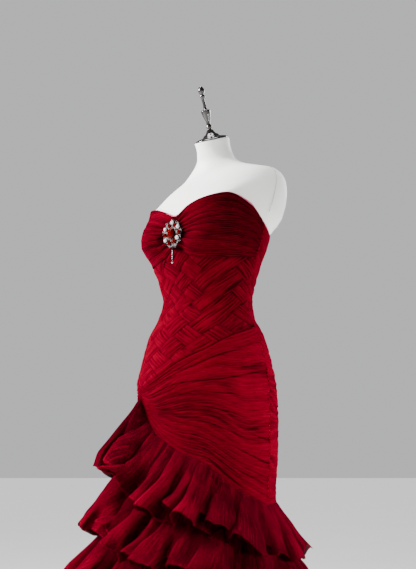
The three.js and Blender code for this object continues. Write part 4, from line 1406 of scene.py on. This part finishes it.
def brooch():
    """The openwork plate with its stones, and the drop that hangs from it."""
    low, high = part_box("brooch_plate")
    front, back = low[1] / MM, high[1] / MM
    middle = (low[2] + high[2]) / 2 / MM
    seat = front - 0.3
    silver = hard("Aged silver", (0.004, 0.003, 0.003), (0.085, 0.062, 0.062), 0.22, 1.0, size=60)
    black = hard("Blackened silver", (0.003, 0.002, 0.002), (0.03, 0.022, 0.022), 0.4, 0.6, size=60)
    red = stone("Red glass", (0.012, 0.0, 0.0), (0.15, 0.0, 0.001), 0.08)
    clear = stone("Clear glass", (0.3, 0.27, 0.28), (1.0, 1.0, 1.0), 0.6)
    finish_piece(filigree(front, (front + back) / 2, middle), silver, "silver", ["brooch_plate"])
    finish_piece(brooch_backing(back, middle), black, "silver")
    wide, tall, deep = (CENTRE_STONE[key] for key in ("wide", "high", "deep"))
    centre = (CENTRE_STONE["x"], seat, middle + CENTRE_STONE["z"])
    large = facet_stone(wide, tall, deep, 14, centre)
    cut_stones("brooch_centre_stone_cut", [large], red, "garnet", ["brooch_centre_stone"])
    for word, places, glass, sides, wide, tall in (
        ("crystal", CRYSTALS, clear, 10, 0.98, 1.0),
        ("garnet", GARNETS, red, 8, 1.15, 1.5),
    ):
        for k, (x, z, size) in enumerate(places, 1):
            cut = facet_stone(wide * size, tall * size, 0.8 * size, sides, (x, seat, middle + z))
            cut_stones(f"brooch_{word}_{k}_cut", [cut], glass, word, [f"brooch_{word}_{k}"])
    chips = [
        facet_stone(1.7, 2.6, 1.8, 8, (x, seat, z))
        for _, (x, z) in between_scallops(INNER_LOOPS, middle)
    ]
    cut_stones("brooch_small_red_stones", chips, red, "garnet")
    brooch_drop(silver, clear, red)


def ball(centre, radius):
    """A small round bead."""
    rings, sides = 6, 8
    rows = []
    for k in range(rings + 1):
        at = math.pi * k / rings
        rows.append((-radius * math.cos(at), radius * math.sin(at) if 0 < k < rings else 0))
    points, faces = turned(rows, sides)
    return points + np.array(centre, float), faces


def brooch_drop(silver, clear, red):
    """A short chain of set stones that ends in a red and clear drop. Places on it are under its top
    bead."""
    low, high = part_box("brooch_drop")
    x, y = 0.0, (low[1] + high[1]) / 2 / MM
    top = high[2] / MM - 1.9
    wires = [ball((x, y, top), 1.5)]
    for z in DROP_STONES:
        wires.append(tube(loop((x, top + z), 1.6, 1.6, y, 20), 0.32))
        wires.append(ball((x, y, top + z + 2.1), 0.5))
    wires.append(tube(loop((x, top - 29.0), 2.9, 5.2, y, 32), 0.35))
    wires.append(ball((x, y, top - 35.0), 0.9))
    chain = mesh_object("brooch_drop_chain", *join(wires))
    finish_piece(chain, silver, "silver", ["brooch_drop"], DROP)
    cups = [facet_stone(1.15, 1.15, 1.2, 8, (x, y, top + z)) for z in DROP_STONES]
    cups.append(facet_stone(1.8, 1.9, 1.6, 8, (x, y, top + DROP_CLEAR)))
    cut_stones("brooch_drop_crystals", cups, clear, "crystal", (), DROP)
    last = facet_stone(2.3, 3.2, 1.9, 8, (x, y, top + DROP_RED))
    cut_stones("brooch_drop_red_stone", [last], red, "garnet", (), DROP)


# Sewing


def seam_line(angle, start, stop, height, count):
    """Points up one side of the body."""
    z = np.linspace(start, stop, count)
    return off_body(np.full(count, float(angle)), z, np.full(count, float(height)))


def stitching():
    """A narrow seam down each side, and stitches beside it whose bright thread colour is a painted
    highlight.
    """
    seam_cloth = hard("Crimson seam", (0.03, 0.0, 0.001), (0.12, 0.0, 0.006), 0.7, gloss=0.0)
    # Painted highlight: the thread is far lighter than the chiffon.
    thread = hard("Crimson thread painted highlight", (0.2, 0.0, 0.01), (0.5, 0.01, 0.04), 0.5, gloss=0.05)
    pitch = 9
    for side, sign in (("left", 1), ("right", -1)):
        top, foot = float(neckline(90 * sign)), float(ruffle_seam(90 * sign))
        welt = tube(seam_line(90 * sign, top - 1, foot + 1, 0.2, 160), 1.5, 8, closed=False)
        finish_piece(mesh_object(f"side_seam_{side}", *welt), seam_cloth, "chiffon")
        parts = []
        for k in range(int((top - foot) / pitch)):
            z = foot + 6 + k * pitch
            length, width = 2.4 + 1.6 * noise(k * 0.7, 3, 95), 0.3 + 0.12 * noise(k * 0.9, 8, 96)
            line = seam_line(90 * sign - 1.1 * sign, z, z + length, 1.7, 4)
            parts.append(tube(line, width * np.array([0.7, 1, 1, 0.7]), 6, closed=False))
        finish_piece(mesh_object(f"side_stitches_{side}", *join(parts)), thread, "chiffon")


def neckline_edge():
    """A narrow sheer facing that stands just above the neckline."""
    u, v = np.meshgrid(np.linspace(0, 1, 361)[:-1], np.linspace(0, 1, 5), indexing="ij")
    angle = u * 360 - 180
    z = neckline(angle) - 2 + v * mix(3.0, 9.0, bell(angle - 82, 14))
    height = -0.2 + 0.5 * np.sin(np.pi * v) + 0.25 * noise(u * 90, v * 2, 91)
    outer, inner = off_body(angle, z, height), off_body(angle, z, height - 0.7)
    place = np.stack([u * 900, v * 5, 0.8 + 0 * u], -1)
    obj = cloth("neckline_facing", outer, inner, place, ring=True)
    material = net("Pink edge net", (0.3, 0.02, 0.05), (0.75, 0.16, 0.24), 0.75)
    finish_piece(obj, material, "organza")


# Stage


def area_light(name, place, aim, size, power, colour, spread=180):
    """A round light that faces a point, with its spread in degrees."""
    data = bpy.data.lights.new(name, "AREA")
    data.shape, data.size, data.energy, data.color = "DISK", size, power, colour
    data.spread = math.radians(spread)
    light = bpy.data.objects.new(name, data)
    light.location = place
    light.rotation_euler = (Vector(aim) - Vector(place)).to_track_quat("-Z", "Y").to_euler()
    bpy.context.scene.collection.objects.link(light)


def pale_floor():
    size = 40.0
    corners = [(-size, -size), (size, -size), (size, size), (-size, size)]
    mesh = bpy.data.meshes.new("floor")
    mesh.from_pydata([(x, y, -0.0005) for x, y in corners], [], [(0, 1, 2, 3)])
    floor = bpy.data.objects.new("floor", mesh)
    bpy.context.scene.collection.objects.link(floor)
    mesh.materials.append(hard("Pale floor", (0.6, 0.6, 0.6), (0.64, 0.64, 0.64), 0.7, size=0.2))


def backdrop():
    """A pale surround that lights the dress less than it shows."""
    world = bpy.context.scene.world or bpy.data.worlds.new("World")
    bpy.context.scene.world = world
    world.use_nodes = True
    nodes = world.node_tree
    surround = nodes.nodes["Background"]
    surround.inputs["Color"].default_value = (0.88, 0.88, 0.9, 1)
    seen = nodes.nodes.new("ShaderNodeLightPath").outputs["Is Camera Ray"]
    nodes.links.new(maths(nodes, "MULTIPLY_ADD", seen, 0.57, 0.1), surround.inputs["Strength"])


def lights(power):
    """A strong key at the wearer's front right, weaker lights from the front, left and back, and a
    soft sun from above."""
    warm, half_warm, white = (1, 0.98, 0.96), (1, 0.98, 0.97), (1, 1, 1)
    area_light("key", (-2.2, -1.75, 2.25), (0, 0, 1.1), 0.9, power, warm)
    area_light("front", (0.4, -2.9, 2.6), (0, 0, 1.1), 1.0, 0.012 * power, warm)
    area_light("side", (1.7, 0.1, 0.6), (0, 0, 0.83), 0.4, 0.01 * power, half_warm, 38)
    area_light("back", (0.5, 2.7, 2.4), (0, 0, 1.0), 1.0, 0.12 * power, white)
    data = bpy.data.lights.new("ceiling", "SUN")
    data.energy, data.angle = 5.0, math.radians(40)
    ceiling = bpy.data.objects.new("ceiling", data)
    ceiling.location = (-1.0, -1.2, 3.5)
    ceiling.rotation_euler = Vector((0.2, 0.25, -1.2)).to_track_quat("-Z", "Y").to_euler()
    bpy.context.scene.collection.objects.link(ceiling)


def photo_camera(settings):
    """A camera that sees the dress as the photo does."""
    sensor = 36
    data = bpy.data.cameras.new("photo camera")
    data.sensor_fit, data.sensor_width, data.sensor_height = "AUTO", sensor, sensor
    data.lens = PHOTO["focal"] / PHOTO["high"] * sensor
    data.clip_start, data.clip_end = 0.05, 30
    camera = bpy.data.objects.new("photo camera", data)
    turn, distance = settings.azimuth, settings.distance
    camera.location = (distance * math.sin(turn), -distance * math.cos(turn), settings.height)
    camera.rotation_euler = (math.pi / 2 + settings.tilt, 0, turn)
    bpy.context.scene.collection.objects.link(camera)
    bpy.context.scene.camera = camera


# Operators


class DRESS_OT_form(bpy.types.Operator):
    """Build the limbless form's white skin, its turned cap and finial, and its stand"""

    bl_idname = "dress.form"
    bl_label = "Form and stand"

    def execute(self, context):
        form_skin()
        plate_shade_lines()
        form_trim()
        return {"FINISHED"}


class DRESS_OT_bust(bpy.types.Operator):
    """Build the two pleated bust drapes and the neckline's facing"""

    bl_idname = "dress.bust"
    bl_label = "Bust drapes"

    def execute(self, context):
        bust_drape("left")
        bust_drape("right")
        neckline_edge()
        return {"FINISHED"}


class DRESS_OT_midriff(bpy.types.Operator):
    """Build the midriff's lining and the plaited bands over it"""

    bl_idname = "dress.midriff"
    bl_label = "Plaited midriff"

    def execute(self, context):
        midriff_panel()
        for count, index in enumerate(RISING_BANDS, 1):
            plait_band(1, index, f"plait_rising_{count}")
        for count, index in enumerate(FALLING_BANDS, 1):
            plait_band(-1, index, f"plait_falling_{count}")
        return {"FINISHED"}


class DRESS_OT_hips(bpy.types.Operator):
    """Build the fanned hip drapes"""

    bl_idname = "dress.hips"
    bl_label = "Hip drapes"

    def execute(self, context):
        hip_drape_left()
        hip_drape_right()
        return {"FINISHED"}


class DRESS_OT_back(bpy.types.Operator):
    """Build the two ruched back panels"""

    bl_idname = "dress.back"
    bl_label = "Back panels"

    def execute(self, context):
        back_panel("left")
        back_panel("right")
        return {"FINISHED"}


class DRESS_OT_underskirt(bpy.types.Operator):
    """Build the underskirt's four gores"""

    bl_idname = "dress.underskirt"
    bl_label = "Underskirt"

    def execute(self, context):
        underskirt_gore("front_left", 0, 90)
        underskirt_gore("front_right", -90, 0)
        underskirt_gore("back_left", 90, 180)
        underskirt_gore("back_right", -180, -90)
        return {"FINISHED"}


class DRESS_OT_ruffles(bpy.types.Operator):
    """Build the six mesh ruffles, each in three layers"""

    bl_idname = "dress.ruffles"
    bl_label = "Ruffles"

    def execute(self, context):
        for tier in range(TIERS):
            for layer in range(3):
                ruffle(tier, layer)
        return {"FINISHED"}


class DRESS_OT_brooch(bpy.types.Operator):
    """Build the brooch's filigree, stones and hanging drop"""

    bl_idname = "dress.brooch"
    bl_label = "Brooch"

    def execute(self, context):
        brooch()
        return {"FINISHED"}


class DRESS_OT_sewing(bpy.types.Operator):
    """Build the side seams and their stitches"""

    bl_idname = "dress.sewing"
    bl_label = "Sewing"

    def execute(self, context):
        stitching()
        return {"FINISHED"}


class DRESS_OT_stage(bpy.types.Operator):
    """Build the pale floor, the soft lights and the camera"""

    bl_idname = "dress.stage"
    bl_label = "Stage"

    def execute(self, context):
        settings = context.scene.dress_stage
        pale_floor()
        backdrop()
        lights(settings.key_power)
        photo_camera(settings)
        return {"FINISHED"}


OPERATORS = (
    DRESS_OT_stage,
    DRESS_OT_form,
    DRESS_OT_bust,
    DRESS_OT_midriff,
    DRESS_OT_hips,
    DRESS_OT_back,
    DRESS_OT_underskirt,
    DRESS_OT_ruffles,
    DRESS_OT_brooch,
    DRESS_OT_sewing,
)


class DRESS_PT_panel(bpy.types.Panel):
    bl_label = "Mermaid dress"
    bl_idname = "DRESS_PT_panel"
    bl_space_type = "VIEW_3D"
    bl_region_type = "UI"
    bl_category = "Dress"

    def draw(self, context):
        for settings in (context.scene.dress_cloth, context.scene.dress_stage):
            box = self.layout.box()
            for name in type(settings).__annotations__:
                box.prop(settings, name)
        for operator in OPERATORS:
            self.layout.operator(operator.bl_idname)


CLASSES = (DressCloth, DressStage, *OPERATORS, DRESS_PT_panel)


def register():
    for each in CLASSES:
        bpy.utils.register_class(each)
    bpy.types.Scene.dress_cloth = bpy.props.PointerProperty(type=DressCloth)
    bpy.types.Scene.dress_stage = bpy.props.PointerProperty(type=DressStage)


def unregister():
    del bpy.types.Scene.dress_stage
    del bpy.types.Scene.dress_cloth
    for each in reversed(CLASSES):
        bpy.utils.unregister_class(each)


def main():
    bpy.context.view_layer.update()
    register()
    for operator in OPERATORS:
        space, name = operator.bl_idname.split(".")
        getattr(getattr(bpy.ops, space), name)()


if __name__ == "__main__":
    main()
